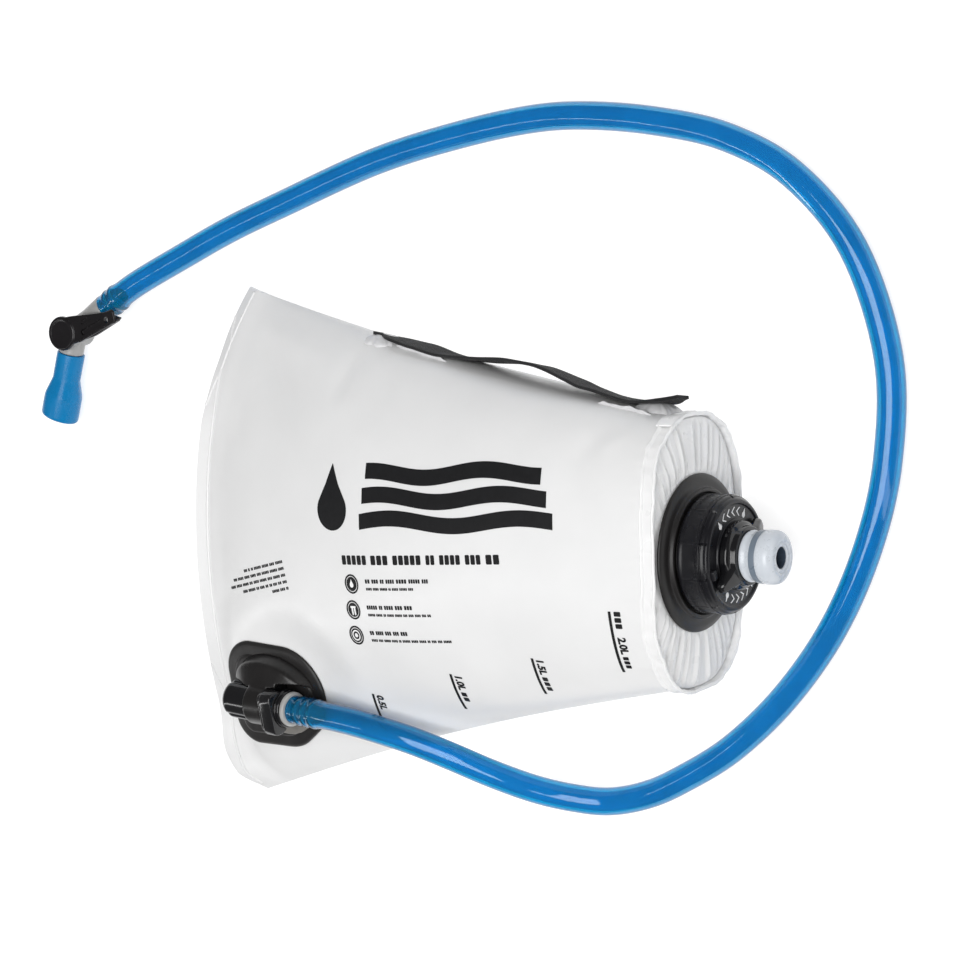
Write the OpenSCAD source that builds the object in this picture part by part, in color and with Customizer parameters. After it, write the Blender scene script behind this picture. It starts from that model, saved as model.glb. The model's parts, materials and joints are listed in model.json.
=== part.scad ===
// Two-litre drinking reservoir: a tapered film bag with a screw cap and
// twist spout at one end, a quick-release hose port near the other, a hose
// and a bite valve with a shut-off lever. The bag lies on its back.
// X runs from the bottom seam to the cap, Z points up, the floor is z = 0.

/* [Bag] */
// Length of the bag from the bottom seam to the end gusset
bag_length = 248; // [230:1:265]
// Width of the flat bottom seam
seam_width = 221; // [210:1:230]
// Width of the flat welded band along the bottom seam
seam_band = 6; // [5:1:14]
// How far the ends of the bottom seam pull in towards the cap
seam_bow = 12; // [4:1:16]
// Sideways offset of the bottom seam from the cap's axis
seam_shift = -11; // [-14:1:0]
// Height of the middle of the bottom seam above the floor
seam_mid_z = 34; // [28:1:38]
// How far the bottom seam drops from its middle to its corners
seam_sag = 26; // [20:1:28]
// Width of the oval end gusset
gusset_width = 108; // [104:1:114]
// Height of the oval end gusset
gusset_height = 68; // [66:1:72]
// Squareness of the end's oval: 2 is an ellipse
end_squareness = 2.7; // [2:0.1:3]
// Film thickness
film = 0.8; // [0.8:0.1:1.2]
// How far the long edges curve inwards
edge_pinch = 5; // [0:0.5:8]
// How much the underside fills out towards the floor
belly = 0.5; // [0.4:0.05:0.6]

/* [Cap] */
// Outside diameter of the filling port's flange
flange_d = 62; // [58:1:64]
// Bore of the filling port's neck
neck_bore = 35; // [33:0.5:36]
// Outside diameter of the screw cap
cap_d = 46.6; // [46:0.2:48]
// Axial length of the screw cap
cap_length = 13; // [12:0.5:14]
// Number of grip panels around the cap
grip_panels = 10; // [8:1:14]

/* [Spout] */
// Outside diameter of the soft spout
spout_d = 21.2; // [20:0.2:22]
// Bore of the soft spout
spout_bore = 8.4; // [7:0.2:9]
// Length of the soft spout in front of the twist collar
spout_length = 14; // [13:0.5:16]

/* [Hose] */
// Outside diameter of the hose
hose_d = 11.5; // [11:0.1:12]
// Bore of the hose
hose_bore = 8; // [7.6:0.1:8]

/* [Hose port] */
// Roll of the port about the hose's exit direction
port_roll = 14; // [10:1:16]
// Height of the port's barrel axis above the film
port_rise = 10.5; // [10.4:0.1:11]
// Outside diameter of the port's barrel
barrel_d = 17.2; // [17.2:0.1:18]
// Outside diameter of the release button
button_d = 14.8; // [14.4:0.1:14.9]

/* [Bite valve] */
// Outside diameter of the mouthpiece's neck
bite_neck_d = 11.8; // [11.4:0.1:12]
// Outside diameter of the mouthpiece's flared end
bite_flare_d = 17.2; // [16:0.1:17.2]
// Length of the mouthpiece
bite_length = 31; // [28:0.5:33]
// Diameter of the lever's round head
lever_head_d = 14.4; // [14:0.1:15]

/* [Carry strap] */
// Width of the webbing
strap_width = 16; // [12:1:18]
// Thickness of the webbing
strap_thick = 1.6; // [1.2:0.1:2]

/* [Hidden] */
$fn = 64;

// The bag's cross-sections go from the seam (u = 0) to the gusset (u = 1).
gusset_x = 126;
seam_x = gusset_x - bag_length;
rim_z = gusset_height / 2;
band_u = seam_band / bag_length;
swell_power = 2.5;
stations = 26;
across = 24;

// The hose's route: out of the port, over the bag's edge, down to the
// floor, round the bag in one open loop and up to the bite valve's elbow.
hose_route = [
    [-65, -76, 45], [-55, -76.5, 46], [-45, -77, 47], [-34, -78, 47.5],
    [-22, -80, 47], [-5, -84, 44.5], [10, -90, 39], [25, -98, 30],
    [39, -105, 20], [52, -109, 12], [67, -110, 7.5], [84, -106, 5.8],
    [101, -98, 5.8], [125, -83, 5.8], [150, -60, 5.8], [172, -31, 5.8],
    [188, 2, 5.8], [197, 36, 5.8], [198, 75, 5.8], [184, 116, 5.8],
    [159, 144, 5.8], [130, 159, 5.8], [98, 166, 5.8], [65, 169, 5.8],
    [37, 168, 5.8], [0, 162, 5.8], [-42, 152, 5.8], [-91, 135, 5.8],
    [-121, 124, 6], [-149, 111.5, 7.5], [-173.7, 100, 8.7], [-191, 90, 8.7]
];
hose_sides = 12;
hose_steps = 2;

// The strap's centre line, from its seam end to its cap end.
strap_route = [
    [-34, 81.3, 17.5], [-24, 79.3, 18.5], [-12, 76.8, 19.7], [0, 75, 21], [10, 73.6, 22],
    [24, 73, 24], [38, 73, 25], [48, 72, 26.5], [55, 71, 27], [63, 68.8, 28], [71, 66, 29],
    [78, 63, 30], [84, 61.2, 30.5], [90, 59.7, 31], [98, 58.4, 32], [106, 57.8, 33],
    [115, 58.3, 33.5], [124, 60.5, 34.5]
];

// Cap stack: distances along the cap's axis.
flange_x = gusset_x + 2.4;
flange_thick = 2.6;
neck_end = flange_x + 13.1;
neck_r = neck_bore / 2 + 2.7;
cap_start = flange_x + 4.6;
cap_face = cap_start + cap_length;
cap_plate = 2.8;
cap_wall = 2;
gasket_start = neck_end;
gasket_end = cap_face - cap_plate;
seat_r = 8.9;
rotor_bore_r = 9;
rotor_start = cap_face + 0.2;
rotor_end = cap_face + 6;
rotor_r = 12.6;
wing_r = 19;
spout_end = rotor_end + spout_length;
band_start = rotor_end + 4.6;
band_end = rotor_end + 7.2;

// Hose port: the port's frame has its x axis along the barrel.
exit_dir = (hose_route[1] - hose_route[0]) / norm(hose_route[1] - hose_route[0]);
port_yaw = atan2(exit_dir[1], exit_dir[0]);
port_pitch = asin(exit_dir[2]);
port_reach = 14.6;
port_pos = hose_route[0] - port_reach * exit_dir;
barrel_r = barrel_d / 2;
flange_top = 2 - port_rise;
socket_r = 5.6;
spigot_r = 5.5;
passage_r = 3;
button_travel = 2.5;
slot_start = 2.2;
slot_end = 5.0;

// Foot of the port on the film, and the film's plane there.
port_normal = turn_port([0, 0, 1]);
port_foot = port_pos - port_rise * port_normal;

// Bite valve: the hub stands upright and the elbow's x axis meets the hose.
hose_end = hose_route[len(hose_route) - 1];
end_dir = hose_end - hose_route[len(hose_route) - 2];
elbow_yaw = atan2(-end_dir[1], -end_dir[0]);
elbow_reach = 23;
hub_pos = hose_end + elbow_reach * end_dir / norm(end_dir);
mouth_turn = -137;
hub_r = 6.6;
hub_h = 13;
mouth_start = 10;
lever_gap = 0.4;

function mix(a, b, t) = a + (b - a) * t;
function clamp01(t) = min(1, max(0, t));
function ease(t) = clamp01(t) * clamp01(t) * (3 - 2 * clamp01(t));

function turn_port(p) =
    let (a = [p[0], p[1] * cos(port_roll) - p[2] * sin(port_roll),
              p[1] * sin(port_roll) + p[2] * cos(port_roll)])
    let (b = [a[0] * cos(port_pitch) - a[2] * sin(port_pitch), a[1],
              a[0] * sin(port_pitch) + a[2] * cos(port_pitch)])
    [b[0] * cos(port_yaw) - b[1] * sin(port_yaw),
     b[0] * sin(port_yaw) + b[1] * cos(port_yaw), b[2]];

// Bag outline and height at station u and across angle a.
function fill_u(u) = clamp01((u - band_u) / (1 - band_u));
function half_width(u) =
    mix(seam_width / 2, gusset_width / 2 - 1, u) - edge_pinch * sin(180 * u);
function station_x(u, v) =
    mix(seam_x + seam_bow * pow(abs(v), v < 0 ? 16 : 4), gusset_x, u);
function corner_lift(u, v) =
    7 * ease((-v - 0.6) / 0.25) * ease((1.02 + v) / 0.1) * (1 - ease(u / 0.06));
function mid_z(u, v) =
    mix(seam_mid_z - seam_sag * v * v, rim_z, u) + corner_lift(u, v);
function swell(u) =
    (gusset_height / 2 - 1) * (1 - pow(1 - fill_u(u), swell_power));
function bulge(u, v) =
    let (p = mix(2, end_squareness, ease(u / 0.9)))
    pow(max(0, 1 - pow(abs(v), p)), 1 / p);
function port_plane(x, y) =
    port_foot[2] - (port_normal[0] * (x - port_foot[0])
                    + port_normal[1] * (y - port_foot[1])) / port_normal[2];
function port_weight(x, y, u) =
    let (d = norm([(x - port_foot[0] + 3) / 1.15, y - port_foot[1]]))
    (1 - ease((d - 25) / 24)) * ease(fill_u(u) / 0.05);

// The film is flat and evenly thick in the seam band, then opens out:
// depth is 0 on its outside and the film's thickness on its inside.
function film_point(u, a, depth, front) =
    let (v = sin(a))
    let (x = station_x(u, v))
    let (open = ease(swell(u) / (4 * film)))
    let (y = seam_shift * (1 - u) + (half_width(u) - depth * open) * v)
    let (skin = (film - depth) * (1 - open))
    let (t = (swell(u) - depth * open) * bulge(u, v))
    let (top = mid_z(u, v) + skin + max(0, t))
    let (under = mid_z(u, v) - skin - max(0, t) * (1 + belly * sin(180 * fill_u(u))))
    let (w = port_weight(x, y, u))
    [x, y, front ? mix(top, port_plane(x, y) - depth, w) : max(depth, under)];

function station_u(i) =
    i == 0 ? 0 : mix(band_u, 1, (i - 1) / (stations - 1));

// A closed skin between two grids of points with the same layout.
module skin_between(outer, inner, rows, cols, flip) {
    n = (rows + 1) * (cols + 1);
    function at(i, j) = i * (cols + 1) + j;
    top = [for (i = [0:rows - 1]) for (j = [0:cols - 1])
           each [[at(i, j), at(i + 1, j), at(i + 1, j + 1)],
                 [at(i, j), at(i + 1, j + 1), at(i, j + 1)]]];
    low = [for (f = top) [f[2] + n, f[1] + n, f[0] + n]];
    ring = concat([for (j = [0:cols]) at(0, j)],
                  [for (i = [1:rows]) at(i, cols)],
                  [for (j = [1:cols]) at(rows, cols - j)],
                  [for (i = [1:rows - 1]) at(rows - i, 0)]);
    m = len(ring);
    side = [for (k = [0:m - 1])
            each [[ring[k], ring[(k + 1) % m], ring[(k + 1) % m] + n],
                  [ring[k], ring[(k + 1) % m] + n, ring[k] + n]]];
    faces = concat(top, low, side);
    polyhedron(points = concat(outer, inner),
               faces = flip ? [for (f = faces) [f[2], f[1], f[0]]] : faces);
}

module film_panel(front) {
    outer = [for (i = [0:stations]) for (j = [0:across])
             film_point(station_u(i), -90 + 180 * j / across, 0, front)];
    inner = [for (i = [0:stations]) for (j = [0:across])
             film_point(station_u(i), -90 + 180 * j / across, film, front)];
    skin_between(outer, inner, stations, across, !front);
}

module front_panel() {
    color("whitesmoke") film_panel(true);
}

module back_panel() {
    color("gainsboro") film_panel(false);
}

// A closed ring swept from loops of points: each loop is one row.
module ring_of_loops(loops) {
    m = len(loops);
    n = len(loops[0]);
    faces = [for (i = [0:m - 1]) for (j = [0:n - 1])
             let (a = i * n + j, b = i * n + (j + 1) % n)
             let (c = ((i + 1) % m) * n + j, d = ((i + 1) % m) * n + (j + 1) % n)
             each [[a, b, d], [a, d, c]]];
    polyhedron(points = [for (loop = loops) each loop], faces = faces);
}

// Loop of points round the end's middle; p is its squareness.
function oval(rx, rz, x, p = 2) =
    [for (k = [0:59])
     let (s = sin(6 * k), c = cos(6 * k))
     [x, rx * sign(s) * pow(abs(s), 2 / p), rim_z + rz * sign(c) * pow(abs(c), 2 / p)]];

// Film end panel: an oval with a slight dome and a hole for the neck.
module end_gusset() {
    hole_r = neck_r + 1.4;
    rx = gusset_width / 2 - 1.4;
    rz = gusset_height / 2 - 1.4;
    color("whitesmoke") ring_of_loops([
        oval(rx, rz, gusset_x, end_squareness),
        oval(rx, rz, gusset_x + film, end_squareness),
        oval(mix(rx, flange_d / 2, 0.5), mix(rz, flange_d / 2, 0.5), gusset_x + 2,
             mix(end_squareness, 2, 0.5)),
        oval(flange_d / 2, flange_d / 2 - 0.5, flange_x),
        oval(hole_r, hole_r, flange_x),
        oval(hole_r, hole_r, flange_x - film),
        oval(flange_d / 2, flange_d / 2 - 0.5, flange_x - film)
    ]);
}

// Welded rim around the end gusset.
module gusset_rim() {
    rx = gusset_width / 2;
    rz = gusset_height / 2;
    color("white") ring_of_loops([
        oval(rx - 1.4, rz - 1.4, gusset_x, end_squareness),
        oval(rx, rz, gusset_x, end_squareness),
        oval(rx, rz, gusset_x + 3, end_squareness),
        oval(rx - 1.4, rz - 1.4, gusset_x + 3, end_squareness)
    ]);
}

// Everything on the cap's axis is drawn with that axis along local z.
module on_cap_axis() {
    translate([0, 0, rim_z]) rotate([0, 90, 0]) children();
}

module tube_between(start, end, outer_r, inner_r) {
    translate([0, 0, start]) difference() {
        cylinder(h = end - start, r = outer_r);
        translate([0, 0, -1]) cylinder(h = end - start + 2, r = inner_r);
    }
}

// Filling port: flange, sealing lip and threaded neck in one moulding.
module cap_port() {
    bore_r = neck_bore / 2;
    color("#1c1c1e") on_cap_axis() difference() {
        union() {
            rotate_extrude() polygon([
                [bore_r + 0.5, gusset_x], [neck_r + 1, gusset_x],
                [neck_r + 1, flange_x], [flange_d / 2 - 0.6, flange_x],
                [flange_d / 2, flange_x + 0.7],
                [flange_d / 2 - 0.9, flange_x + flange_thick - 0.4],
                [flange_d / 2 - 3, flange_x + flange_thick],
                [25.4, flange_x + flange_thick], [25, flange_x + 4.2],
                [23.6, flange_x + 4.2], [23.4, flange_x + flange_thick],
                [neck_r, flange_x + flange_thick], [neck_r, neck_end],
                [bore_r + 0.5, neck_end]
            ]);
            for (k = [0:2]) {
                tube_between(neck_end - 2.6 - 2.8 * k, neck_end - 1.2 - 2.8 * k,
                             neck_r + 0.8, neck_r - 0.5);
            }
        }
        translate([0, 0, gusset_x - 1])
            cylinder(h = neck_end - gusset_x + 2, r = bore_r);
    }
}

module cap_gasket() {
    color("lightgray") on_cap_axis()
        tube_between(gasket_start, gasket_end, neck_r + 0.6, neck_bore / 2 + 0.3);
}

// Screw cap: a skirt with shallow grip panels, a stepped rim and two stops.
module cap_shell() {
    r = cap_d / 2;
    color("#1d1d20") on_cap_axis() difference() {
        union() {
            rotate_extrude() polygon([
                [0, cap_start], [r - 0.3, cap_start], [r, cap_start + 0.5],
                [r, cap_face - 3.6], [r - 0.7, cap_face - 3.2],
                [r - 0.7, cap_face - 1.4], [r - 2, cap_face],
                [r - 3.2, cap_face], [r - 3.8, cap_face - 0.7],
                [0, cap_face - 0.7]
            ]);
            translate([0, 0, cap_face - 1]) cylinder(h = 1, r = 14.2);
            for (turn = [16, 196]) {
                rotate([0, 0, turn]) translate([18.2, -2, cap_face - 1])
                    cube([2.2, 4, 2.6]);
            }
        }
        for (k = [0:grip_panels - 1]) {
            rotate([0, 0, 360 * (k + 0.5) / grip_panels])
                translate([r + 27.2, 0, cap_start + 1.2])
                cylinder(h = cap_length - 6, r = 28);
        }
        translate([0, 0, cap_start - 1])
            cylinder(h = cap_length - cap_plate + 1, r = r - cap_wall);
        translate([0, 0, cap_face - 4]) cylinder(h = 6, r = seat_r);
    }
}

// Fixed core of the twist valve: water leaves through its side ports.
module valve_seat() {
    color("gainsboro") on_cap_axis() difference() {
        union() {
            translate([0, 0, gasket_end - 2.2]) cylinder(h = 2.2, r = 12.5);
            translate([0, 0, gasket_end - 0.1])
                cylinder(h = rotor_end - 2.4 - gasket_end, r = seat_r);
        }
        translate([0, 0, gasket_end - 3])
            cylinder(h = rotor_end - 4.2 - gasket_end + 3, r = 5);
        translate([0, 0, rotor_end - 5.4]) rotate_extrude()
            translate([seat_r - 1, 0]) square([2, 1.4]);
        for (turn = [0, 180]) {
            rotate([0, 0, turn]) translate([5.9, 0, gasket_end + 1])
                cylinder(h = 12, r = 1.2);
        }
    }
}

module valve_oring() {
    color("dimgray") on_cap_axis() translate([0, 0, rotor_end - 4.7])
        rotate_extrude() translate([seat_r - 0.5, 0]) circle(r = 0.48, $fn = 24);
}

// Twist collar with two wings; the spout is held in its front plate.
module valve_rotor() {
    color("#161618") on_cap_axis() difference() {
        union() {
            translate([0, 0, rotor_start]) cylinder(h = 3.2, r = rotor_r + 0.8);
            translate([0, 0, rotor_start]) cylinder(h = 5.8, r = rotor_r - 1);
            for (turn = [37, 217]) {
                rotate([0, 0, turn]) translate([0, 0, rotor_start]) rotor_wing();
            }
        }
        translate([0, 0, rotor_start - 1])
            cylinder(h = rotor_end - 2.2 - rotor_start + 1, r = rotor_bore_r);
        translate([0, 0, rotor_start]) cylinder(h = 10, r = 6.4);
    }
}

module rotor_wing() {
    linear_extrude(height = 4.4) polygon([
        [9, -5.2], [wing_r - 2, -3], [wing_r, -1.4],
        [wing_r, 1.4], [wing_r - 2, 3], [9, 5.2]
    ]);
}

// Soft spout: waisted base, full front and a hole through the middle.
module spout() {
    r = spout_d / 2;
    color("aliceblue", 0.7) on_cap_axis() difference() {
        union() {
            translate([0, 0, rotor_end - 2]) cylinder(h = 2.1, r = 6.4);
            rotate_extrude() polygon([
                [0, rotor_end], [r - 1.6, rotor_end], [r - 0.9, rotor_end + 1.4],
                [r - 0.7, band_start], [r - 0.7, band_end], [r, band_end],
                [r, spout_end - 2.6], [r - 0.7, spout_end - 1.1],
                [r - 2.2, spout_end], [6.2, spout_end],
                [5.6, spout_end - 0.7], [0, spout_end - 0.7]
            ]);
        }
        translate([0, 0, rotor_end - 3])
            cylinder(h = spout_length + 4, r = spout_bore / 2);
    }
}

module spout_band() {
    color("silver") on_cap_axis()
        tube_between(band_start, band_end, spout_d / 2 - 0.3, spout_d / 2 - 0.7);
}

// A flat band standing on edge along its centre line.
module upright_band(route, height, thick) {
    n = len(route);
    sections = [for (i = [0:n - 1])
        let (a = route[max(0, i - 1)], b = route[min(n - 1, i + 1)])
        let (along = [b[0] - a[0], b[1] - a[1]] / norm([b[0] - a[0], b[1] - a[1]]))
        let (side = [-along[1], along[0], 0] * thick / 2, up = [0, 0, height / 2])
        [route[i] + side + up, route[i] - side + up,
         route[i] - side - up, route[i] + side - up]];
    sides = [for (i = [0:n - 2]) for (j = [0:3])
             let (a = 4 * i + j, b = 4 * i + (j + 1) % 4)
             each [[a, b, b + 4], [a, b + 4, a + 4]]];
    last = 4 * (n - 1);
    polyhedron(points = [for (s = sections) each s],
               faces = concat(sides, [[3, 2, 1], [3, 1, 0],
                   [last, last + 1, last + 2], [last, last + 2, last + 3]]));
}

module carry_strap() {
    color("#202022") upright_band(strap_route, strap_width, strap_thick);
}

// Film patch that holds one end of the strap against the bag's edge.
module strap_patch(x, y, z, turn) {
    color("whitesmoke") translate([x, y, z]) rotate([0, 0, turn])
        rotate([90, 0, 0]) linear_extrude(height = 4.4)
        offset(r = 2) square([14, strap_width - 6], center = true);
}

module strap_patch_front() {
    strap_patch(-29, 80, 18.3, -9);
}

module strap_patch_rear() {
    strap_patch(112, 57.4, 33, -6);
}

// Everything on the hose port is drawn in the port's own frame.
module in_port() {
    translate(port_pos) rotate([port_roll, -port_pitch, port_yaw]) children();
}

module barrel_rod(start, end, r) {
    translate([start, 0, 0]) rotate([0, 90, 0]) cylinder(h = end - start, r = r);
}

// Rounded-triangular flange welded to the film.
module port_flange() {
    color("#2a2a2b") in_port() difference() {
        translate([-3.5, 2, -port_rise]) linear_extrude(height = 2) hull() {
            translate([-13, 7.3]) circle(r = 13.4);
            translate([9.8, -0.8]) circle(r = 16.4);
            translate([9, -9.8]) circle(r = 15);
            translate([-9.5, -10]) circle(r = 14.2);
            translate([-14, -4]) circle(r = 13.8);
        }
        translate([-4, 0, -port_rise - 1]) cylinder(h = 4, r = passage_r);
    }
}

// Domed housing with the barrel that takes the button and the connector.
module port_housing() {
    color("#242425") in_port() difference() {
        union() {
            hull() {
                translate([-13, 2, flange_top]) cylinder(h = 2, r = 11, $fn = 32);
                translate([8, -1, flange_top]) cylinder(h = 1.6, r = 11, $fn = 32);
                translate([-9, 4, -2]) sphere(r = 5.4, $fn = 32);
                translate([0, 4, -2.4]) sphere(r = 4.4, $fn = 32);
            }
            barrel_rod(-16.5, 6, barrel_r);
        }
        barrel_rod(-26, -10.5, button_d / 2 + 0.08);
        barrel_rod(-1.8, 8, socket_r);
        barrel_rod(-8, 0, passage_r);
        translate([6.1, 0, 0]) rotate([0, 90, 0]) cylinder(h = 20, r = 12.6);
        translate([-4, 0, -port_rise - 1]) cylinder(h = port_rise, r = passage_r);
        translate([slot_start - 0.1, -7.4, -12])
            cube([slot_end - slot_start + 0.2, 14.8, 19.9]);
    }
}

// Domed push button with a ribbed rim.
module release_button() {
    r = button_d / 2;
    color("#151516") in_port() difference() {
        translate([-23.4, 0, 0]) rotate([0, 90, 0]) rotate_extrude() polygon([
            [0, 0], [r - 3.4, 0.3], [r - 1.6, 1.1], [r - 0.5, 2.4],
            [r, 4.2], [r, 10], [0, 10]
        ]);
        for (k = [0:7]) {
            rotate([45 * k, 0, 0]) translate([-24, 0, r + 0.5])
                rotate([0, 90, 0]) cylinder(h = 6, r = 1, $fn = 24);
        }
        barrel_rod(-16.6, -13, 5.4);
    }
}

// A round wire swept along a helix.
module coil_spring(start, length, coil_r, wire_r, turns) {
    rings = 12 * turns;
    sides = 6;
    loops = [for (i = [0:rings])
        let (a = 30 * i, c = [cos(a), sin(a)])
        [for (k = [0:sides - 1])
            let (r = coil_r + wire_r * cos(60 * k))
            [start + wire_r + (length - 2 * wire_r) * i / rings
             + wire_r * sin(60 * k), r * c[0], r * c[1]]]];
    wall = [for (i = [0:rings - 1]) for (k = [0:sides - 1])
            let (a = i * sides + k, b = i * sides + (k + 1) % sides)
            each [[a, b, b + sides], [a, b + sides, a + sides]]];
    caps = concat(
        [for (k = [1:sides - 2]) [0, k + 1, k]],
        [for (k = [1:sides - 2]) rings * sides * [1, 1, 1] + [0, k, k + 1]]);
    polyhedron(points = [for (loop = loops) each loop],
               faces = concat(wall, caps));
}

module button_spring() {
    color("silver") in_port() coil_spring(-16.5, 5.9, 4.4, 0.4, 4);
}

// Latch plate: it rides in the barrel's slot and grips the spigot's groove.
module latch_plate() {
    color("#39393b") in_port() difference() {
        translate([slot_start, -7.2, -7.6])
            cube([slot_end - slot_start, 14.4, 12.4]);
        barrel_rod(slot_start - 1, slot_end + 1, 5.9);
    }
}

module port_poppet() {
    color("gainsboro") in_port() {
        barrel_rod(-3.6, -3.2, 2.7);
        barrel_rod(-3.3, -2.5, 2.1);
        barrel_rod(-2.6, -2.2, 2.7);
        barrel_rod(-7, -3.3, 1.2);
    }
}

module poppet_seal() {
    color("black") in_port() translate([-2.9, 0, 0]) rotate([0, 90, 0])
        rotate_extrude() translate([2.42, 0]) circle(r = 0.29, $fn = 24);
}

module poppet_spring() {
    color("silver") in_port() coil_spring(-7.9, 4.2, 2, 0.3, 4);
}

// Plug-in connector: spigot, collar and the barb that the hose grips.
module hose_connector() {
    color("#19191b") in_port() difference() {
        union() {
            barrel_rod(-1.4, 6.4, spigot_r);
            barrel_rod(6.4, 8, 7);
            barrel_rod(8, 12.4, 8.2);
            barrel_rod(12.3, port_reach + 15, 4);
            for (k = [0:2]) {
                translate([port_reach + 3.5 + 4 * k, 0, 0]) rotate([0, 90, 0])
                    cylinder(h = 2.6, r1 = 4.9, r2 = 4);
            }
        }
        barrel_rod(-2, port_reach + 16, 2.8);
        for (x = [slot_start - 0.1, -0.6]) {
            translate([x, 0, 0]) rotate([0, 90, 0]) rotate_extrude()
                translate([4.3, 0]) square([2, x > 0 ? 3 : 1.6]);
        }
    }
}

module connector_oring() {
    color("dimgray") in_port() translate([0.2, 0, 0]) rotate([0, 90, 0])
        rotate_extrude() translate([4.92, 0]) circle(r = 0.62, $fn = 24);
}

module connector_ring() {
    color("silver") in_port() rotate([0, 90, 0])
        tube_between(12.4, port_reach, 7.4, 4);
}

// One point of a smooth curve through b and c, between a and d.
function blend_point(a, b, c, d, t) =
    0.5 * (2 * b + (c - a) * t + (2 * a - 5 * b + 4 * c - d) * t * t
           + (3 * b - a - 3 * c + d) * t * t * t);

function smooth_route(p, steps) =
    let (n = len(p))
    [for (i = [0:n - 2]) for (k = [0:steps - 1])
        blend_point(i == 0 ? 2 * p[0] - p[1] : p[i - 1], p[i], p[i + 1],
                    i == n - 2 ? 2 * p[n - 1] - p[n - 2] : p[i + 2], k / steps),
     p[n - 1]];

// Hollow hose swept along its route with level rings.
module hose_tube() {
    path = smooth_route(hose_route, hose_steps);
    n = len(path);
    m = hose_sides;
    rings = [for (r = [hose_d / 2, hose_bore / 2]) for (i = [0:n - 1])
        let (along = path[min(n - 1, i + 1)] - path[max(0, i - 1)])
        let (t = along / norm(along))
        let (side = cross(t, [0, 0, 1]) / norm(cross(t, [0, 0, 1])))
        let (up = cross(side, t))
        for (k = [0:m - 1])
            path[i] + r * (side * cos(360 * k / m) + up * sin(360 * k / m))];
    wall = [for (i = [0:n - 2]) for (k = [0:m - 1])
            let (a = i * m + k, b = i * m + (k + 1) % m)
            each [[a, b + m, b], [a, a + m, b + m]]];
    bore = [for (f = wall) [f[2] + n * m, f[1] + n * m, f[0] + n * m]];
    ends = [for (e = [0, n - 1]) for (k = [0:m - 1])
            let (a = e * m + k, b = e * m + (k + 1) % m)
            let (c = a + n * m, d = b + n * m)
            each e == 0 ? [[a, b, d], [a, d, c]] : [[a, d, b], [a, c, d]]];
    color("dodgerblue", 0.7)
        polyhedron(points = rings, faces = concat(wall, bore, ends));
}

// Everything on the bite valve is drawn from the hub's centre.
module at_hub() {
    translate(hub_pos) rotate([0, 0, elbow_yaw]) children();
}

module toward_mouth() {
    rotate([0, 0, mouth_turn]) rotate([0, 90, 0]) children();
}

// Clear elbow: hose barb, upright hub for the shut-off barrel and outlet.
module elbow_body() {
    color("gainsboro", 0.8) at_hub() difference() {
        union() {
            translate([0, 0, -hub_h / 2]) cylinder(h = hub_h, r = hub_r);
            rotate([0, 90, 0]) cylinder(h = 12, r = 5.6);
            translate([11, 0, 0]) rotate([0, 90, 0])
                cylinder(h = elbow_reach - 11, r1 = 5.4, r2 = 6.2);
            rotate([0, 90, 0]) cylinder(h = elbow_reach + 11, r = 4);
            for (k = [0:1]) {
                translate([elbow_reach + 2.5 + 4 * k, 0, 0]) rotate([0, 90, 0])
                    cylinder(h = 2.6, r1 = 4, r2 = 4.9);
            }
            toward_mouth() cylinder(h = mouth_start, r = 5.6);
            toward_mouth() cylinder(h = mouth_start + 10, r = 4.4);
        }
        translate([0, 0, -hub_h / 2 + 1.4]) cylinder(h = hub_h, r = 5);
        rotate([0, 90, 0]) cylinder(h = elbow_reach + 12, r = 3);
        toward_mouth() cylinder(h = mouth_start + 11, r = 3);
    }
}

// Turning barrel inside the hub, bored along the open flow path.
module shutoff_barrel() {
    color("#2b2b2d") at_hub() difference() {
        translate([0, 0, -hub_h / 2 + 1.5])
            cylinder(h = hub_h - 1.5 + lever_gap, r = 4.94);
        rotate([0, 90, 0]) cylinder(h = 8, r = 2.6);
        toward_mouth() cylinder(h = 8, r = 2.6);
        sphere(r = 2.9);
        for (z = [-4.6, 3.6]) {
            translate([0, 0, z]) rotate_extrude() translate([4, 0]) square([2, 1]);
        }
    }
}

module barrel_orings() {
    color("dimgray") at_hub() for (z = [-4.1, 4.1]) {
        translate([0, 0, z]) rotate_extrude() translate([4.46, 0])
            circle(r = 0.46, $fn = 24);
    }
}

// Lever: a round head and an arm that lies along the elbow when open.
module shutoff_lever() {
    z0 = hub_h / 2 + lever_gap;
    color("#1b1b1d") at_hub() difference() {
        union() {
            translate([0, 0, z0]) cylinder(h = 2.6, r = lever_head_d / 2);
            translate([3, -5.8, z0]) cube([21, 8.2, 2.2]);
            translate([5, -6.6, z0]) cube([24, 0.9, 3.2]);
            translate([23, -6.6, z0 + 1.2]) rotate([0, -12, 0]) cube([8, 6, 1]);
        }
        translate([20.5, -3.6, z0 - 1]) cylinder(h = 6, r = 1.3);
        translate([9, -5, z0 + 1.3]) cube([9, 3.4, 3]);
    }
}

// Soft mouthpiece: a neck stretched on the outlet and a flared end.
module bite_valve() {
    neck = bite_neck_d / 2;
    flare = bite_flare_d / 2;
    end = mouth_start + bite_length;
    color("deepskyblue", 0.8) at_hub() toward_mouth() difference() {
        rotate_extrude() polygon([
            [4.4, mouth_start], [neck, mouth_start], [neck - 0.2, mouth_start + 11],
            [flare - 0.6, end - 15], [flare, end - 12.4], [flare - 0.2, end - 1],
            [flare - 1.2, end], [1, end + 0.6], [0, end + 0.6],
            [0, end - 2], [4.4, end - 5]
        ]);
        translate([-5, -0.2, end - 4]) cube([10, 0.4, 6]);
    }
}

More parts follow.
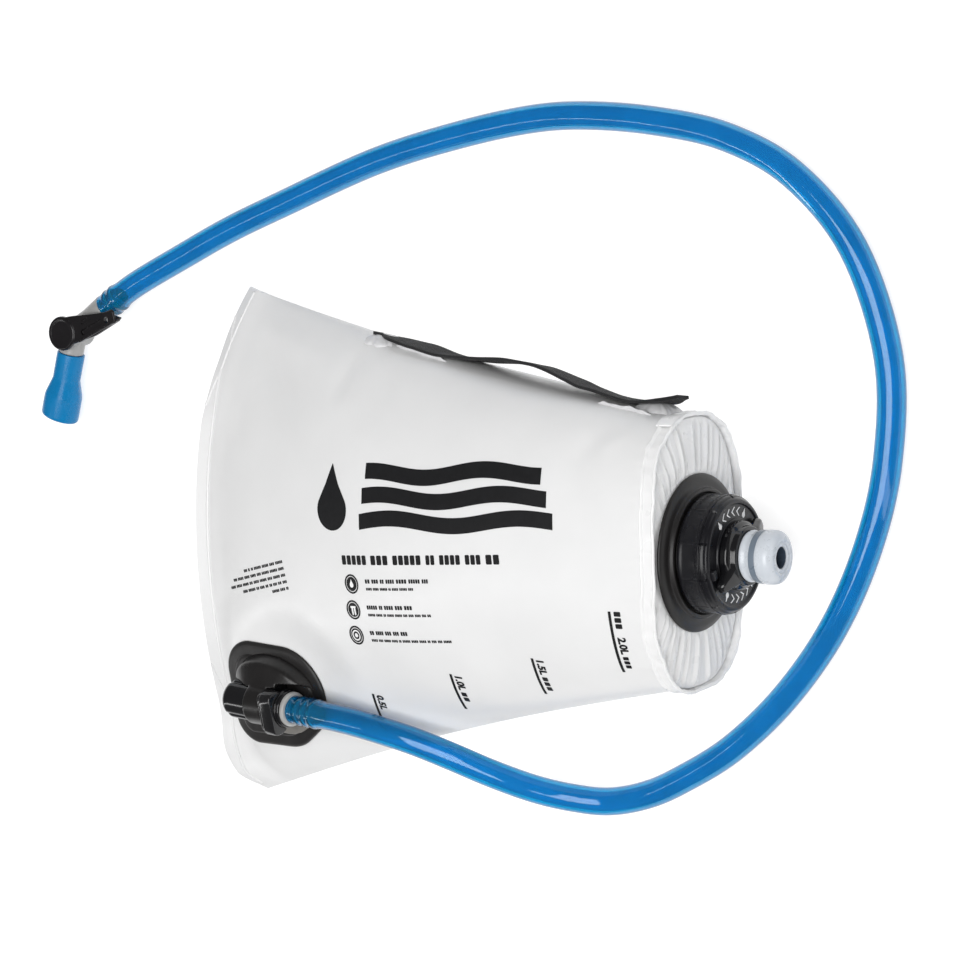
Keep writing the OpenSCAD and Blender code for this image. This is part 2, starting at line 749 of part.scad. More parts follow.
front_panel();
back_panel();
end_gusset();
gusset_rim();
cap_port();
cap_gasket();
cap_shell();
valve_seat();
valve_oring();
valve_rotor();
spout();
spout_band();
carry_strap();
strap_patch_front();
strap_patch_rear();
port_flange();
port_housing();
release_button();
button_spring();
latch_plate();
port_poppet();
poppet_spring();
poppet_seal();
hose_connector();
connector_ring();
connector_oring();
hose_tube();
elbow_body();
shutoff_barrel();
barrel_orings();
shutoff_lever();
bite_valve();
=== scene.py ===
"""Looks of a two-litre drinking reservoir that lies on its back: a milky film bag with a screw cap and
spout, a carry strap, a quick-release hose port, a clear blue hose and a bite valve.

Shapes are drawn in millimetres, in the row frame or in a part's own frame, and stored in metres."""

import json
import math

import bmesh
import bpy
import numpy as np
from mathutils import Matrix, Vector


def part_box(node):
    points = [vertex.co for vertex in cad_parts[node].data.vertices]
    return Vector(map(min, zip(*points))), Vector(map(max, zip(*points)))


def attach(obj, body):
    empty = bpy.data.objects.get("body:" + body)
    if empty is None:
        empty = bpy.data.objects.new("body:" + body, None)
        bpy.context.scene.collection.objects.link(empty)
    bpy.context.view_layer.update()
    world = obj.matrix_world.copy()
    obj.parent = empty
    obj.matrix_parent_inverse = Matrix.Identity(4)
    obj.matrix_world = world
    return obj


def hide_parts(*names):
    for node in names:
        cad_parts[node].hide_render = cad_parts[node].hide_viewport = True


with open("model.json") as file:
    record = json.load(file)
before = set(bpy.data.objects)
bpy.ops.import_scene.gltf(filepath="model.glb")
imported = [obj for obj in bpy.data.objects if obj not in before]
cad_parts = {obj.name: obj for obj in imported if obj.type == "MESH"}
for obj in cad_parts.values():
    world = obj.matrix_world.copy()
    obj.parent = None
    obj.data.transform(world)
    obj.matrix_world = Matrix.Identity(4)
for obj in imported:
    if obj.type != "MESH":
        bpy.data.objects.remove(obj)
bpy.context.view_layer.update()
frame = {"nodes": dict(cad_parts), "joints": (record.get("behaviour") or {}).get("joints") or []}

MM = 0.001
JOINTS = {joint["name"]: joint for joint in frame["joints"]}


def add_object(name, data):
    made = bpy.data.objects.new(name, data)
    bpy.context.scene.collection.objects.link(made)
    return made


def assign(made, body, node=None):
    """Says which body a piece moves with and the CAD node it stands for."""
    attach(made, body)
    if node:
        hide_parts(node)
    return made


# ---------------------------------------------------------------- camera

CAMERA_TURN = math.radians(35)
CAMERA_TILT = math.radians(7)
CAMERA_ROLL = math.radians(-2)
CAMERA_AIM = Vector((0.003, 0.019, 0.0))
CAMERA_DISTANCE = 1.336
CAMERA_LENS = 120


def make_camera():
    """Looks down on the bag from its cap side; the image's up is the strap side."""
    back = Vector((
        math.sin(CAMERA_TURN) * math.cos(CAMERA_TILT),
        math.sin(CAMERA_TILT),
        math.cos(CAMERA_TURN) * math.cos(CAMERA_TILT),
    ))
    level = Vector((math.cos(CAMERA_TURN), 0, -math.sin(CAMERA_TURN)))
    upright = back.cross(level)
    right = level * math.cos(CAMERA_ROLL) + upright * math.sin(CAMERA_ROLL)
    up = back.cross(right)
    data = bpy.data.cameras.new("camera")
    data.lens = CAMERA_LENS
    data.clip_end = 20
    camera = add_object("camera", data)
    turn = Matrix((right, up, back)).transposed().to_4x4()
    camera.matrix_world = Matrix.Translation(CAMERA_AIM + back * CAMERA_DISTANCE) @ turn
    bpy.context.scene.camera = camera


# ---------------------------------------------------------------- small maths


def ease(t):
    t = np.clip(t, 0, 1)
    return t * t * (3 - 2 * t)


def mix(a, b, t):
    return a + (b - a) * t


def ripple(x, y, length, seed):
    """Smooth waves of about that wavelength, from six plane waves, between about -1 and 1."""
    draw = np.random.default_rng(seed)
    total = 0 * x
    for turn, phase, stretch in zip(
        draw.uniform(0, math.tau, 6), draw.uniform(0, math.tau, 6), draw.uniform(0.7, 1.4, 6)
    ):
        along = x * math.cos(turn) + y * math.sin(turn)
        total = total + np.sin(math.tau * along / (length * stretch) + phase)
    return total / 3


def crease(x, y, start, end, width, height):
    """A soft ridge, or a valley where height is negative, from start to end."""
    (x0, y0), (x1, y1) = start, end
    long = math.hypot(x1 - x0, y1 - y0)
    dx, dy = (x1 - x0) / long, (y1 - y0) / long
    along = ((x - x0) * dx + (y - y0) * dy) / long
    across = (y - y0) * dx - (x - x0) * dy
    fade = ease(along / 0.3) * ease((1 - along) / 0.5)
    return height * fade * np.exp(-((across / width) ** 2))


def rounded(corners, closed=True, steps=5):
    """An outline whose corners are (x, y, r): the rounding starts r before the corner."""
    count = len(corners)
    points = []
    for i, (x, y, r) in enumerate(corners):
        if r == 0 or (not closed and i in (0, count - 1)):
            points.append((x, y))
            continue
        here = Vector((x, y))
        before = Vector(corners[i - 1][:2]) - here
        after = Vector(corners[(i + 1) % count][:2]) - here
        start = here + before.normalized() * min(r, 0.49 * before.length)
        end = here + after.normalized() * min(r, 0.49 * after.length)
        for k in range(steps + 1):
            t = k / steps
            p = start * (1 - t) ** 2 + here * 2 * t * (1 - t) + end * t * t
            points.append((p.x, p.y))
    return points


# ---------------------------------------------------------------- mesh building


def finish_mesh(mesh, angle=38):
    """Outward normals, smooth faces, and sharp edges where faces meet at more than the angle."""
    edit = bmesh.new()
    edit.from_mesh(mesh)
    bmesh.ops.remove_doubles(edit, verts=edit.verts, dist=1e-7)
    bmesh.ops.recalc_face_normals(edit, faces=edit.faces)
    limit = math.radians(angle)
    for edge in edit.edges:
        edge.smooth = len(edge.link_faces) == 2 and edge.calc_face_angle(0) < limit
    for face in edit.faces:
        face.smooth = True
    edit.to_mesh(mesh)
    edit.free()


def piece(name, points, faces, material, place=None, angle=38):
    """A mesh object from points in mm in the frame that place puts in the row frame."""
    mesh = bpy.data.meshes.new(name)
    mesh.from_pydata([tuple(p) for p in points], [], faces)
    mesh.materials.append(material)
    mesh.transform((place or Matrix.Identity(4)) @ Matrix.Scale(MM, 4))
    finish_mesh(mesh, angle)
    return add_object(name, mesh)


def repaint(made, material, angle):
    """One material and fresh shading for a piece that has been carved or melted."""
    made.data.materials.clear()
    made.data.materials.append(material)
    finish_mesh(made.data, angle)


def apply_modifiers(made):
    graph = bpy.context.evaluated_depsgraph_get()
    graph.update()
    mesh = bpy.data.meshes.new_from_object(made.evaluated_get(graph))
    made.modifiers.clear()
    made.data = mesh
    return made


def carve(made, cutters, operation="DIFFERENCE"):
    """Cuts the cutters out of the piece, or joins them to it, and removes them."""
    for cutter in cutters:
        modifier = made.modifiers.new("carve", "BOOLEAN")
        modifier.operation = operation
        modifier.solver = "EXACT"
        modifier.object = cutter
    apply_modifiers(made)
    for cutter in cutters:
        bpy.data.objects.remove(cutter)
    return made


def melt(made, voxel, smooth, passes):
    """Joins the parts of a piece into one skin whose inner corners are filled."""
    remesh = made.modifiers.new("melt", "REMESH")
    remesh.mode = "VOXEL"
    remesh.voxel_size = voxel * MM
    blur = made.modifiers.new("blur", "SMOOTH")
    blur.factor = smooth
    blur.iterations = passes
    return apply_modifiers(made)


def rows_of_quads(rows, columns, wrap_rows=False, wrap_columns=False):
    """Faces of a grid of points stored row by row."""
    faces = []
    for i in range(rows if wrap_rows else rows - 1):
        for j in range(columns if wrap_columns else columns - 1):
            here, there = i * columns, (i + 1) % rows * columns
            n = (j + 1) % columns
            faces.append((here + j, here + n, there + n, there + j))
    return faces


def lathe(profile, steps=96, closed=True, shape=None):
    """A profile of (x, r) turned about the x axis. shape(x, r, angle) may move each point."""
    points, rings = [], []
    for x, r in profile:
        if r < 1e-6:
            rings.append([len(points)])
            points.append((x, 0, 0))
            continue
        rings.append(list(range(len(points), len(points) + steps)))
        for k in range(steps):
            angle = math.tau * k / steps
            px, pr = shape(x, r, angle) if shape else (x, r)
            points.append((px, pr * math.cos(angle), pr * math.sin(angle)))
    faces = []
    pairs = list(zip(rings, rings[1:]))
    if closed:
        pairs.append((rings[-1], rings[0]))
    for a, b in pairs:
        if len(a) == 1 and len(b) == 1:
            continue
        for k in range(steps):
            n = (k + 1) % steps
            if len(a) == 1:
                faces.append((a[0], b[n], b[k]))
            elif len(b) == 1:
                faces.append((a[k], a[n], b[0]))
            else:
                faces.append((a[k], a[n], b[n], b[k]))
    return points, faces


def loft(loops):
    """Loops of points with the same count, skinned in order and closed at both ends."""
    count = len(loops[0])
    points = [tuple(p) for loop in loops for p in loop]
    faces = rows_of_quads(len(loops), count, wrap_columns=True)
    for index, loop in ((0, loops[0]), (len(loops) - 1, loops[-1])):
        points.append(tuple(np.mean(np.array(loop, float), axis=0)))
        first = index * count
        faces += [(first + j, first + (j + 1) % count, len(points) - 1) for j in range(count)]
    return points, faces


def convex_loop(circles, count):
    """The outline round circles (x, y, r), as count points seen from their middle."""
    cx = sum(c[0] for c in circles) / len(circles)
    cy = sum(c[1] for c in circles) / len(circles)
    loop = []
    for k in range(count):
        angle = math.tau * k / count
        nx, ny = math.cos(angle), math.sin(angle)
        x, y, r = max(circles, key=lambda c: (c[0] - cx) * nx + (c[1] - cy) * ny + c[2])
        loop.append((x + r * nx, y + r * ny))
    return loop


def inset(loop, distance):
    """A smooth loop moved inwards."""
    points = np.array(loop, float)
    tangent = np.roll(points, -1, axis=0) - np.roll(points, 1, axis=0)
    tangent = tangent / np.linalg.norm(tangent, axis=1)[:, None]
    return points + distance * np.stack([-tangent[:, 1], tangent[:, 0]], axis=1)


def slab(loop, levels):
    """Loops of an outline, each level an (inset, z) pair, from the bottom to the top."""
    return [[(x, y, z) for x, y in inset(loop, depth)] for depth, z in levels]


def soft_levels(low, high, edge):
    """Levels of a slab whose bottom and top edges are rounded."""
    turns = [math.radians(a) for a in (0, 30, 60, 90)]
    bottom = [(edge * (1 - math.sin(a)), low + edge * (1 - math.cos(a))) for a in turns]
    top = [(edge * (1 - math.cos(a)), high - edge * (1 - math.sin(a))) for a in turns]
    return bottom + top


def plate(name, loop, low, high, edge, material, place):
    points, faces = loft(slab(loop, soft_levels(low, high, edge)))
    return piece(name, points, faces, material, place)


def box_loop(x0, y0, x1, y1, r, steps=5):
    return rounded([(x0, y0, r), (x1, y0, r), (x1, y1, r), (x0, y1, r)], steps=steps)


def directions(path):
    """Unit vectors along a path, one at each point."""
    along = np.gradient(path, axis=0)
    return along / np.linalg.norm(along, axis=1)[:, None]


def section_axes(along, up):
    """The side and up directions of a section that faces along a path."""
    side = np.cross(along, up)
    side = side / np.linalg.norm(side)
    return side, np.cross(side, along)


def sweep(path, section):
    """Moves a section of (side, up) points along a path."""
    loops = []
    for p, along in zip(path, directions(path)):
        side, up = section_axes(along, (0, 0, 1))
        loops.append([tuple(p + side * a + up * b) for a, b in section])
    return loft(loops)


def ring_section(half_width, half_height, sides=12):
    turns = [math.tau * k / sides for k in range(sides)]
    return [(half_width * math.cos(a), half_height * math.sin(a)) for a in turns]


def smooth_route(route, steps):
    """Points of a smooth curve through every point of the route."""
    route = [np.array(p, float) for p in route]
    ends = [2 * route[0] - route[1], *route, 2 * route[-1] - route[-2]]
    points = []
    for a, b, c, d in zip(ends, ends[1:], ends[2:], ends[3:]):
        for k in range(steps):
            t = k / steps
            points.append(0.5 * (2 * b + (c - a) * t + (2 * a - 5 * b + 4 * c - d) * t * t
                                 + (3 * b - a - 3 * c + d) * t * t * t))
    return np.array([*points, route[-1]])


# ---------------------------------------------------------------- materials


class Surface:
    """A Principled material, with short calls for the nodes that give it detail."""

    def __init__(self, name, color, roughness, **sockets):
        self.material = bpy.data.materials.new(name)
        self.material.use_nodes = True
        self.tree = self.material.node_tree
        self.shader = self.tree.nodes["Principled BSDF"]
        self.set("Base Color", (*color, 1))
        self.set("Roughness", roughness)
        self.color, self.roughness = color, roughness
        self.set("Subsurface Radius", (1, 1, 1))
        for key, value in sockets.items():
            self.set(key.replace("_", " "), value)
        self.height = None

    def set(self, socket, value):
        self.shader.inputs[socket].default_value = value

    def feed(self, socket, value):
        """Gives a socket a number, or links another node's output to it."""
        if hasattr(value, "is_output"):
            self.tree.links.new(value, socket)
        else:
            socket.default_value = value

    def node(self, kind, **inputs):
        made = self.tree.nodes.new(kind)
        for key, value in inputs.items():
            self.feed(made.inputs[key.replace("_", " ")], value)
        return made

    def place(self, kind="Object"):
        return self.tree.nodes.new("ShaderNodeTexCoord").outputs[kind]

    def noise(self, size_mm, detail, stretch=(1, 1, 1)):
        """Noise with features of about that size."""
        where = self.node("ShaderNodeMapping", Vector=self.place(), Scale=stretch)
        made = self.node("ShaderNodeTexNoise", Vector=where.outputs[0], Scale=1 / (size_mm * MM),
                         Detail=detail)
        return made.outputs["Fac"]

    def spread(self, value, low, high, start=0.3, end=0.7):
        """Maps a noise value onto a range of numbers."""
        made = self.node("ShaderNodeMapRange", Value=value)
        made.inputs["From Min"].default_value = start
        made.inputs["From Max"].default_value = end
        made.inputs["To Min"].default_value = low
        made.inputs["To Max"].default_value = high
        return made.outputs["Result"]

    def math(self, operation, a, b):
        made = self.tree.nodes.new("ShaderNodeMath")
        made.operation = operation
        self.feed(made.inputs[0], a)
        self.feed(made.inputs[1], b)
        return made.outputs[0]

    def blend_colors(self, factor, first, second):
        made = self.tree.nodes.new("ShaderNodeMix")
        made.data_type = "RGBA"
        self.tree.links.new(factor, made.inputs["Factor"])
        for socket, value in ((made.inputs[6], first), (made.inputs[7], second)):
            self.feed(socket, value if hasattr(value, "is_output") else (*value, 1))
        return made.outputs[2]

    def link(self, output, socket):
        self.tree.links.new(output, self.shader.inputs[socket])

    def mottle(self, size_mm, amount):
        """Lets the colour drift a little over the surface."""
        darker = tuple(c * (1 - amount) for c in self.color)
        lighter = tuple(min(1, c * (1 + amount)) for c in self.color)
        factor = self.spread(self.noise(size_mm, 4), 0, 1)
        self.link(self.blend_colors(factor, darker, lighter), "Base Color")
        return self

    def uneven_gloss(self, size_mm, amount, stretch=(1, 1, 1)):
        value = self.spread(self.noise(size_mm, 4, stretch), self.roughness - amount,
                            self.roughness + amount)
        self.link(value, "Roughness")
        return self

    def bump(self, height, depth_mm, strength):
        """Adds a height between 0 and 1 to the surface's relief."""
        made = self.node("ShaderNodeBump", Height=height, Strength=strength,
                         Distance=depth_mm * MM)
        if self.height is not None:
            self.tree.links.new(self.height, made.inputs["Normal"])
        self.height = made.outputs["Normal"]
        self.link(self.height, "Normal")
        return self

    def painted_edge_highlight(self, color):
        """Lightens the outer edges: a painted highlight along crests and rims."""
        edge = self.spread(self.tree.nodes.new("ShaderNodeNewGeometry").outputs["Pointiness"],
                           0, 1, 0.52, 0.6)
        patchy = self.math("MULTIPLY", edge, self.spread(self.noise(2.5, 4), 0.2, 1))
        base = self.shader.inputs["Base Color"]
        first = base.links[0].from_socket if base.links else self.color
        self.link(self.blend_colors(patchy, first, color), "Base Color")
        return self


def film_material(name, color, roughness):
    """Milky polyurethane film: satin, faintly cloudy and finely rippled."""
    film = Surface(name, color, roughness, Subsurface_Weight=0.12, Subsurface_Scale=0.004,
                   Coat_Weight=0.12, Coat_Roughness=0.25, IOR=1.48)
    film.mottle(26, 0.015).uneven_gloss(9, 0.05)
    film.bump(film.noise(11, 3), 0.25, 0.5)
    film.bump(film.noise(0.6, 2), 0.008, 0.6)
    return film.material


def moulded(name, color, roughness, grain_mm=0.35, grain_depth=0.02, **sockets):
    """Injection-moulded plastic: fine spark-eroded grain, uneven gloss and edges lightened as a
    painted highlight.
    """
    plastic = Surface(name, color, roughness, **sockets)
    plastic.mottle(8, 0.15).uneven_gloss(9, 0.035)
    # Lighter edges: painted highlight along crests and rims.
    plastic.painted_edge_highlight(tuple(min(1, c * 1.5 + 0.006) for c in color))
    plastic.bump(plastic.noise(grain_mm, 2), grain_depth, 0.7)
    return plastic.material


def polished(name, color, roughness, **sockets):
    """Glossy moulding with faint flow waves and hairline scuffs."""
    plastic = Surface(name, color, roughness, **sockets)
    plastic.mottle(6, 0.1).uneven_gloss(3, 0.04, (1, 1, 3))
    # Lighter edges: painted highlight along crests and rims.
    plastic.painted_edge_highlight(tuple(min(1, c * 1.6 + 0.012) for c in color))
    plastic.bump(plastic.noise(3.5, 2), 0.03, 0.4)
    return plastic.material


def clear_plastic(name, color, roughness, transmission, **sockets):
    """Clear or frosted moulding: light goes through, tinted and a little scattered."""
    plastic = Surface(name, color, roughness, Transmission_Weight=transmission, **sockets)
    plastic.mottle(5, 0.04).uneven_gloss(4, 0.25 * roughness)
    plastic.bump(plastic.noise(2.6, 2), 0.015, 0.4)
    return plastic.material


def hose_material():
    """Clear blue tube: painted shade colours the wall deeper blue where it is seen edge on."""
    tube = Surface("hose_blue", (0.01, 0.4, 0.76), 0.06, Transmission_Weight=0.8, IOR=1.48)
    facing = tube.node("ShaderNodeLayerWeight", Blend=0.35).outputs["Facing"]
    cloud = tube.blend_colors(tube.spread(tube.noise(14, 3), 0, 1), (0.008, 0.37, 0.72),
                              (0.012, 0.43, 0.81))
    # Darker blue towards the tube's silhouette is painted shade, blended in by the facing weight.
    edge = tube.spread(facing, 0, 1, 0.2, 0.75)
    tube.link(tube.blend_colors(edge, cloud, (0.001, 0.06, 0.25)), "Base Color")
    tube.uneven_gloss(5, 0.02)
    tube.bump(tube.noise(3, 2), 0.01, 0.4)
    return tube.material


def webbing_material():
    """Woven tape: ribs across it, two warp bundles along it, and a fine yarn grain."""
    tape = Surface("webbing_black", (0.02, 0.02, 0.022), 0.75, Sheen_Weight=0.06,
                   Sheen_Roughness=0.5, Specular_IOR_Level=0.25)
    where = tape.place("UV")
    across = tape.node("ShaderNodeTexWave", Vector=where, Scale=0.9, Distortion=0.6,
                       Detail_Scale=2.0)
    across.bands_direction = "X"
    along = tape.node("ShaderNodeTexWave", Vector=where, Scale=0.7, Distortion=0.3,
                      Detail_Scale=2.0)
    along.bands_direction = "Y"
    weave = tape.math("MULTIPLY", across.outputs["Fac"], along.outputs["Fac"])
    tape.link(tape.blend_colors(weave, (0.008, 0.008, 0.009), (0.035, 0.035, 0.038)), "Base Color")
    tape.bump(weave, 0.25, 0.9)
    tape.bump(tape.noise(0.25, 2), 0.03, 0.6)
    return tape.material


def print_material(name, color):
    ink = Surface(name, color, 0.5, Specular_IOR_Level=0.25)
    ink.mottle(3, 0.12).uneven_gloss(2, 0.08)
    ink.bump(ink.noise(0.4, 2), 0.01, 0.5)
    return ink.material


FILM = film_material("film_milky", (0.80, 0.80, 0.80), 0.36)
FILM_BACK = film_material("film_back", (0.79, 0.79, 0.79), 0.38)
FILM_END = film_material("film_end", (0.86, 0.86, 0.86), 0.3)
# The weld film's lighter base colour is painted light: it stands for light that shows through the thin
# welded band.
WELD = film_material("film_weld", (0.83, 0.83, 0.83), 0.3)
# The milky film darkened as painted shade, for tabs and hems that face the top lamp.
SHADED_TAB = film_material("film_tab_shaded", (0.64, 0.64, 0.65), 0.35)
PORT_BLACK = moulded("port_black", (0.014, 0.013, 0.013), 0.4, Specular_IOR_Level=0.3)
PORT_SATIN = moulded("port_satin", (0.012, 0.011, 0.011), 0.3, 0.3, 0.012, Specular_IOR_Level=0.4)
CAP_BLACK = moulded("cap_black", (0.007, 0.007, 0.009), 0.28, 0.3, 0.01, Specular_IOR_Level=0.3)
GLOSS_BLACK = polished("gloss_black", (0.006, 0.006, 0.007), 0.14)
LEVER_BLACK = polished("lever_black", (0.01, 0.009, 0.01), 0.2, Specular_IOR_Level=0.3)
VALVE_GREY = moulded("valve_grey", (0.62, 0.62, 0.62), 0.45)
RING_GREY = moulded("ring_grey", (0.42, 0.42, 0.41), 0.4)
RAMP_GREY = moulded("ramp_grey", (0.20, 0.19, 0.175), 0.45)
SEAL_GREY = moulded("seal_grey", (0.5, 0.5, 0.5), 0.6, 0.8, 0.02)
SEAL_BLACK = moulded("seal_black", (0.02, 0.02, 0.02), 0.55, 0.8, 0.02)
ELBOW_CLEAR = clear_plastic("elbow_clear", (0.36, 0.36, 0.355), 0.34, 0.12)
SPOUT_CLEAR = clear_plastic("spout_frosted", (0.66, 0.70, 0.75), 0.3, 0.12, IOR=1.41,
                            Coat_Weight=0.3, Coat_Roughness=0.12)
# Near-black bore colour: painted shade inside the spout's hollow.
SPOUT_BORE = clear_plastic("spout_bore", (0.05, 0.07, 0.10), 0.35, 0.05)
SPOUT_BAND = clear_plastic("spout_band_grey", (0.17, 0.21, 0.26), 0.32, 0.1, IOR=1.45)
BITE_BLUE = clear_plastic("bite_blue", (0.004, 0.20, 0.47), 0.28, 0.12, IOR=1.41,
                          Specular_IOR_Level=0.3)
HOSE_BLUE = hose_material()
STEEL = polished("spring_steel", (0.55, 0.55, 0.56), 0.25, Metallic=1.0)
WEBBING = webbing_material()
INK_BLACK = print_material("ink_black", (0.008, 0.008, 0.009))
INK_WHITE = print_material("ink_white", (0.85, 0.85, 0.85))


# ---------------------------------------------------------------- frames taken from the CAD


def corners(node):
    """A node's lowest and highest corners in mm."""
    low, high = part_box(node)
    return low / MM, high / MM


def axis_of(joint):
    return Vector(JOINTS[joint]["axis"]).normalized()


def frame_at(origin_mm, x_axis, z_axis):
    """The frame at that point whose x and z axes point as given."""
    y_axis = z_axis.cross(x_axis).normalized()
    turn = Matrix((x_axis, y_axis, x_axis.cross(y_axis))).transposed().to_4x4()
    return Matrix.Translation(origin_mm * MM) @ turn


# Stands a plate's outline across the x axis of the frame that it is drawn in.
ACROSS = Matrix(((0, 0, 1, 0), (1, 0, 0, 0), (0, 1, 0, 0), (0, 0, 0, 1)))

HOSE_OD = 11.5
HOSE_BORE = 8.0

# The hose's centre line, in metres, from its port to the bite valve's elbow.
HOSE_ROUTE = [
    (-0.065, -0.076, 0.045), (-0.055, -0.0765, 0.046), (-0.045, -0.077, 0.047),
    (-0.034, -0.078, 0.0475), (-0.022, -0.080, 0.047), (-0.005, -0.084, 0.0445),
    (0.010, -0.090, 0.039), (0.025, -0.098, 0.030), (0.039, -0.105, 0.020),
    (0.052, -0.109, 0.012), (0.067, -0.110, 0.0075), (0.084, -0.106, 0.0058),
    (0.101, -0.098, 0.0058), (0.125, -0.083, 0.0058), (0.150, -0.060, 0.0058),
    (0.172, -0.031, 0.0058), (0.188, 0.002, 0.0058), (0.197, 0.036, 0.0058),
    (0.198, 0.075, 0.0058), (0.184, 0.116, 0.0058), (0.159, 0.144, 0.0058),
    (0.130, 0.159, 0.0058), (0.098, 0.166, 0.0058), (0.065, 0.169, 0.0058),
    (0.037, 0.168, 0.0058), (0.000, 0.162, 0.0058), (-0.042, 0.152, 0.0058),
    (-0.091, 0.135, 0.0058), (-0.121, 0.124, 0.006), (-0.149, 0.1115, 0.0075),
    (-0.1737, 0.100, 0.0087), (-0.191, 0.090, 0.0087),
]
HOSE_LINE = smooth_route([Vector(p) / MM for p in HOSE_ROUTE], 8)

PORT_REACH = 14.6
EXIT_DIR = axis_of("button_press")
PORT_UP = axis_of("latch_lift")
PORT_POS = Vector(HOSE_ROUTE[0]) / MM - PORT_REACH * EXIT_DIR
PORT = frame_at(PORT_POS, EXIT_DIR, PORT_UP)
PORT_RISE = 10.5
PORT_FOOT = PORT_POS - PORT_RISE * PORT_UP
FLANGE_TOP = 2 - PORT_RISE

HUB_POS = Vector(JOINTS["shutoff_turn"]["pos_m"]) / MM
HUB = frame_at(HUB_POS, (Vector(HOSE_ROUTE[-1]) / MM - HUB_POS).normalized(), Vector((0, 0, 1)))
ELBOW_REACH = (Vector(HOSE_ROUTE[-1]) / MM - HUB_POS).length
MOUTH_TURN = math.radians(-137)
MOUTH = HUB @ Matrix.Rotation(MOUTH_TURN, 4, "Z")

RIM_LOW, RIM_HIGH = corners("gusset_rim")
RIM_Z = (RIM_LOW.z + RIM_HIGH.z) / 2
GUSSET_X = RIM_LOW.x
CAP = Matrix.Translation((0, 0, RIM_Z * MM))
CAP_START = corners("cap_shell")[0].x
FLANGE_X = corners("end_gusset")[1].x
NECK_END = corners("cap_gasket")[0].x
CAP_FACE = corners("cap_gasket")[1].x + 2.8
ROTOR_START = corners("valve_rotor")[0].x
ROTOR_END = corners("valve_rotor")[1].x
SPOUT_END = corners("spout")[1].x


# ---------------------------------------------------------------- hose, the free cord


def hose_radii(distance, total):
    """Outer and inner radius along the hose: it swells over the barbs at both ends."""
    outer, inner = HOSE_OD / 2, HOSE_BORE / 2
    for from_end, barbs in ((distance, (4.9, 8.9, 12.9)), (total - distance, (4.3, 8.3))):
        last = barbs[-1]
        sleeve = 1 - ease((from_end - last - 1) / 4)
        ridges = sum(math.exp(-(((from_end - b) / 1.25) ** 2)) for b in barbs)
        outer = outer + 0.25 * sleeve + 0.45 * ridges
        inner = inner + 0.28 * sleeve + 0.4 * ridges
    return outer, inner


def make_hose():
    """A hollow tube swept along the route, with closed lips at both ends."""
    fine = []
    for a, b in zip(HOSE_LINE, HOSE_LINE[1:]):
        near_end = min(np.linalg.norm(a - HOSE_LINE[0]), np.linalg.norm(a - HOSE_LINE[-1])) < 24
        pieces = max(1, int(np.linalg.norm(b - a) / (0.45 if near_end else 1.8)))
        fine += [mix(a, b, k / pieces) for k in range(pieces)]
    path = np.array([*fine, HOSE_LINE[-1]])
    steps = np.linalg.norm(np.diff(path, axis=0), axis=1)
    distance = np.concatenate([[0], np.cumsum(steps)])
    along = directions(path)
    side = np.cross(along, (0, 0, 1))
    side = side / np.linalg.norm(side, axis=1)[:, None]
    up = np.cross(side, along)
    sides = 40
    turns = np.arange(sides) * math.tau / sides
    round_x, round_y = np.cos(turns), np.sin(turns)
    outer, inner = [], []
    for i in range(len(path)):
        big, small = hose_radii(distance[i], distance[-1])
        circle = side[i] * round_x[:, None] + up[i] * round_y[:, None]
        outer.append(path[i] + big * circle)
        inner.append(path[i] + small * circle)
    rows = outer + inner[::-1]
    points = np.concatenate(rows)
    faces = rows_of_quads(len(rows), sides, wrap_rows=True, wrap_columns=True)
    hose = piece("hose", points, faces, HOSE_BLUE)
    assign(hose, "hose", "hose_tube")
    return hose, [tuple(p * MM) for p in path[::6]] + [tuple(path[-1] * MM)], distance[-1] * MM


# ---------------------------------------------------------------- bag

SEAM_LOW, SEAM_HIGH = corners("front_panel")
SEAM_X = SEAM_LOW.x
BAG_LENGTH = GUSSET_X - SEAM_X
SEAM_HALF = (SEAM_HIGH.y - SEAM_LOW.y) / 2
SEAM_SHIFT = (SEAM_HIGH.y + SEAM_LOW.y) / 2
RIM_HALF = (RIM_HIGH.y - RIM_LOW.y) / 2 - 1
SWELL_TOP = RIM_Z - 1
BAND = 6 / BAG_LENGTH
SEAM_BOW = 12
SEAM_MID_Z = 34
SEAM_SAG = 26
EDGE_PINCH = 5
BELLY = 0.5
SWELL_POWER = 2.5
END_SQUARENESS = 2.7
FILM_THICK = 0.8
WELD_IN = 5.3


def seam_edge(v):
    """How far along the seam's free edge is: it is squarer at the port's corner."""
    return SEAM_X + SEAM_BOW * np.where(v < 0, np.abs(v) ** 16, np.abs(v) ** 4)


def middle_height(u, v):
    """Height half-way between the two films; the port's corner curls up."""
    lift = 7 * ease((-v - 0.6) / 0.25) * ease((1.02 + v) / 0.1) * (1 - ease(u / 0.06))
    return mix(SEAM_MID_Z - SEAM_SAG * v * v, RIM_Z, u) + lift


def half_width(u, v):
    """Half the bag's width; the strap holds its own side a little fuller."""
    return mix(SEAM_HALF, RIM_HALF, u) - np.where(v > 0, 0.8, 1) * EDGE_PINCH * np.sin(math.pi * u)


def station(u, v):
    """Plan position of the film at u along the bag and v across it."""
    return mix(seam_edge(v), GUSSET_X, u), SEAM_SHIFT * (1 - u) + half_width(u, v) * v


def filled(u):
    return np.clip((u - BAND) / (1 - BAND), 0, 1)


def swelling(u):
    """Half the bag's height in its middle, and how far its two films have parted."""
    swell = SWELL_TOP * (1 - (1 - filled(u)) ** SWELL_POWER)
    return swell, ease(swell / (4 * FILM_THICK))


def slackness(u, v):
    """How freely the film may wrinkle: not at all along its edges."""
    return ease(filled(u) / 0.12) * (1 - v**8)


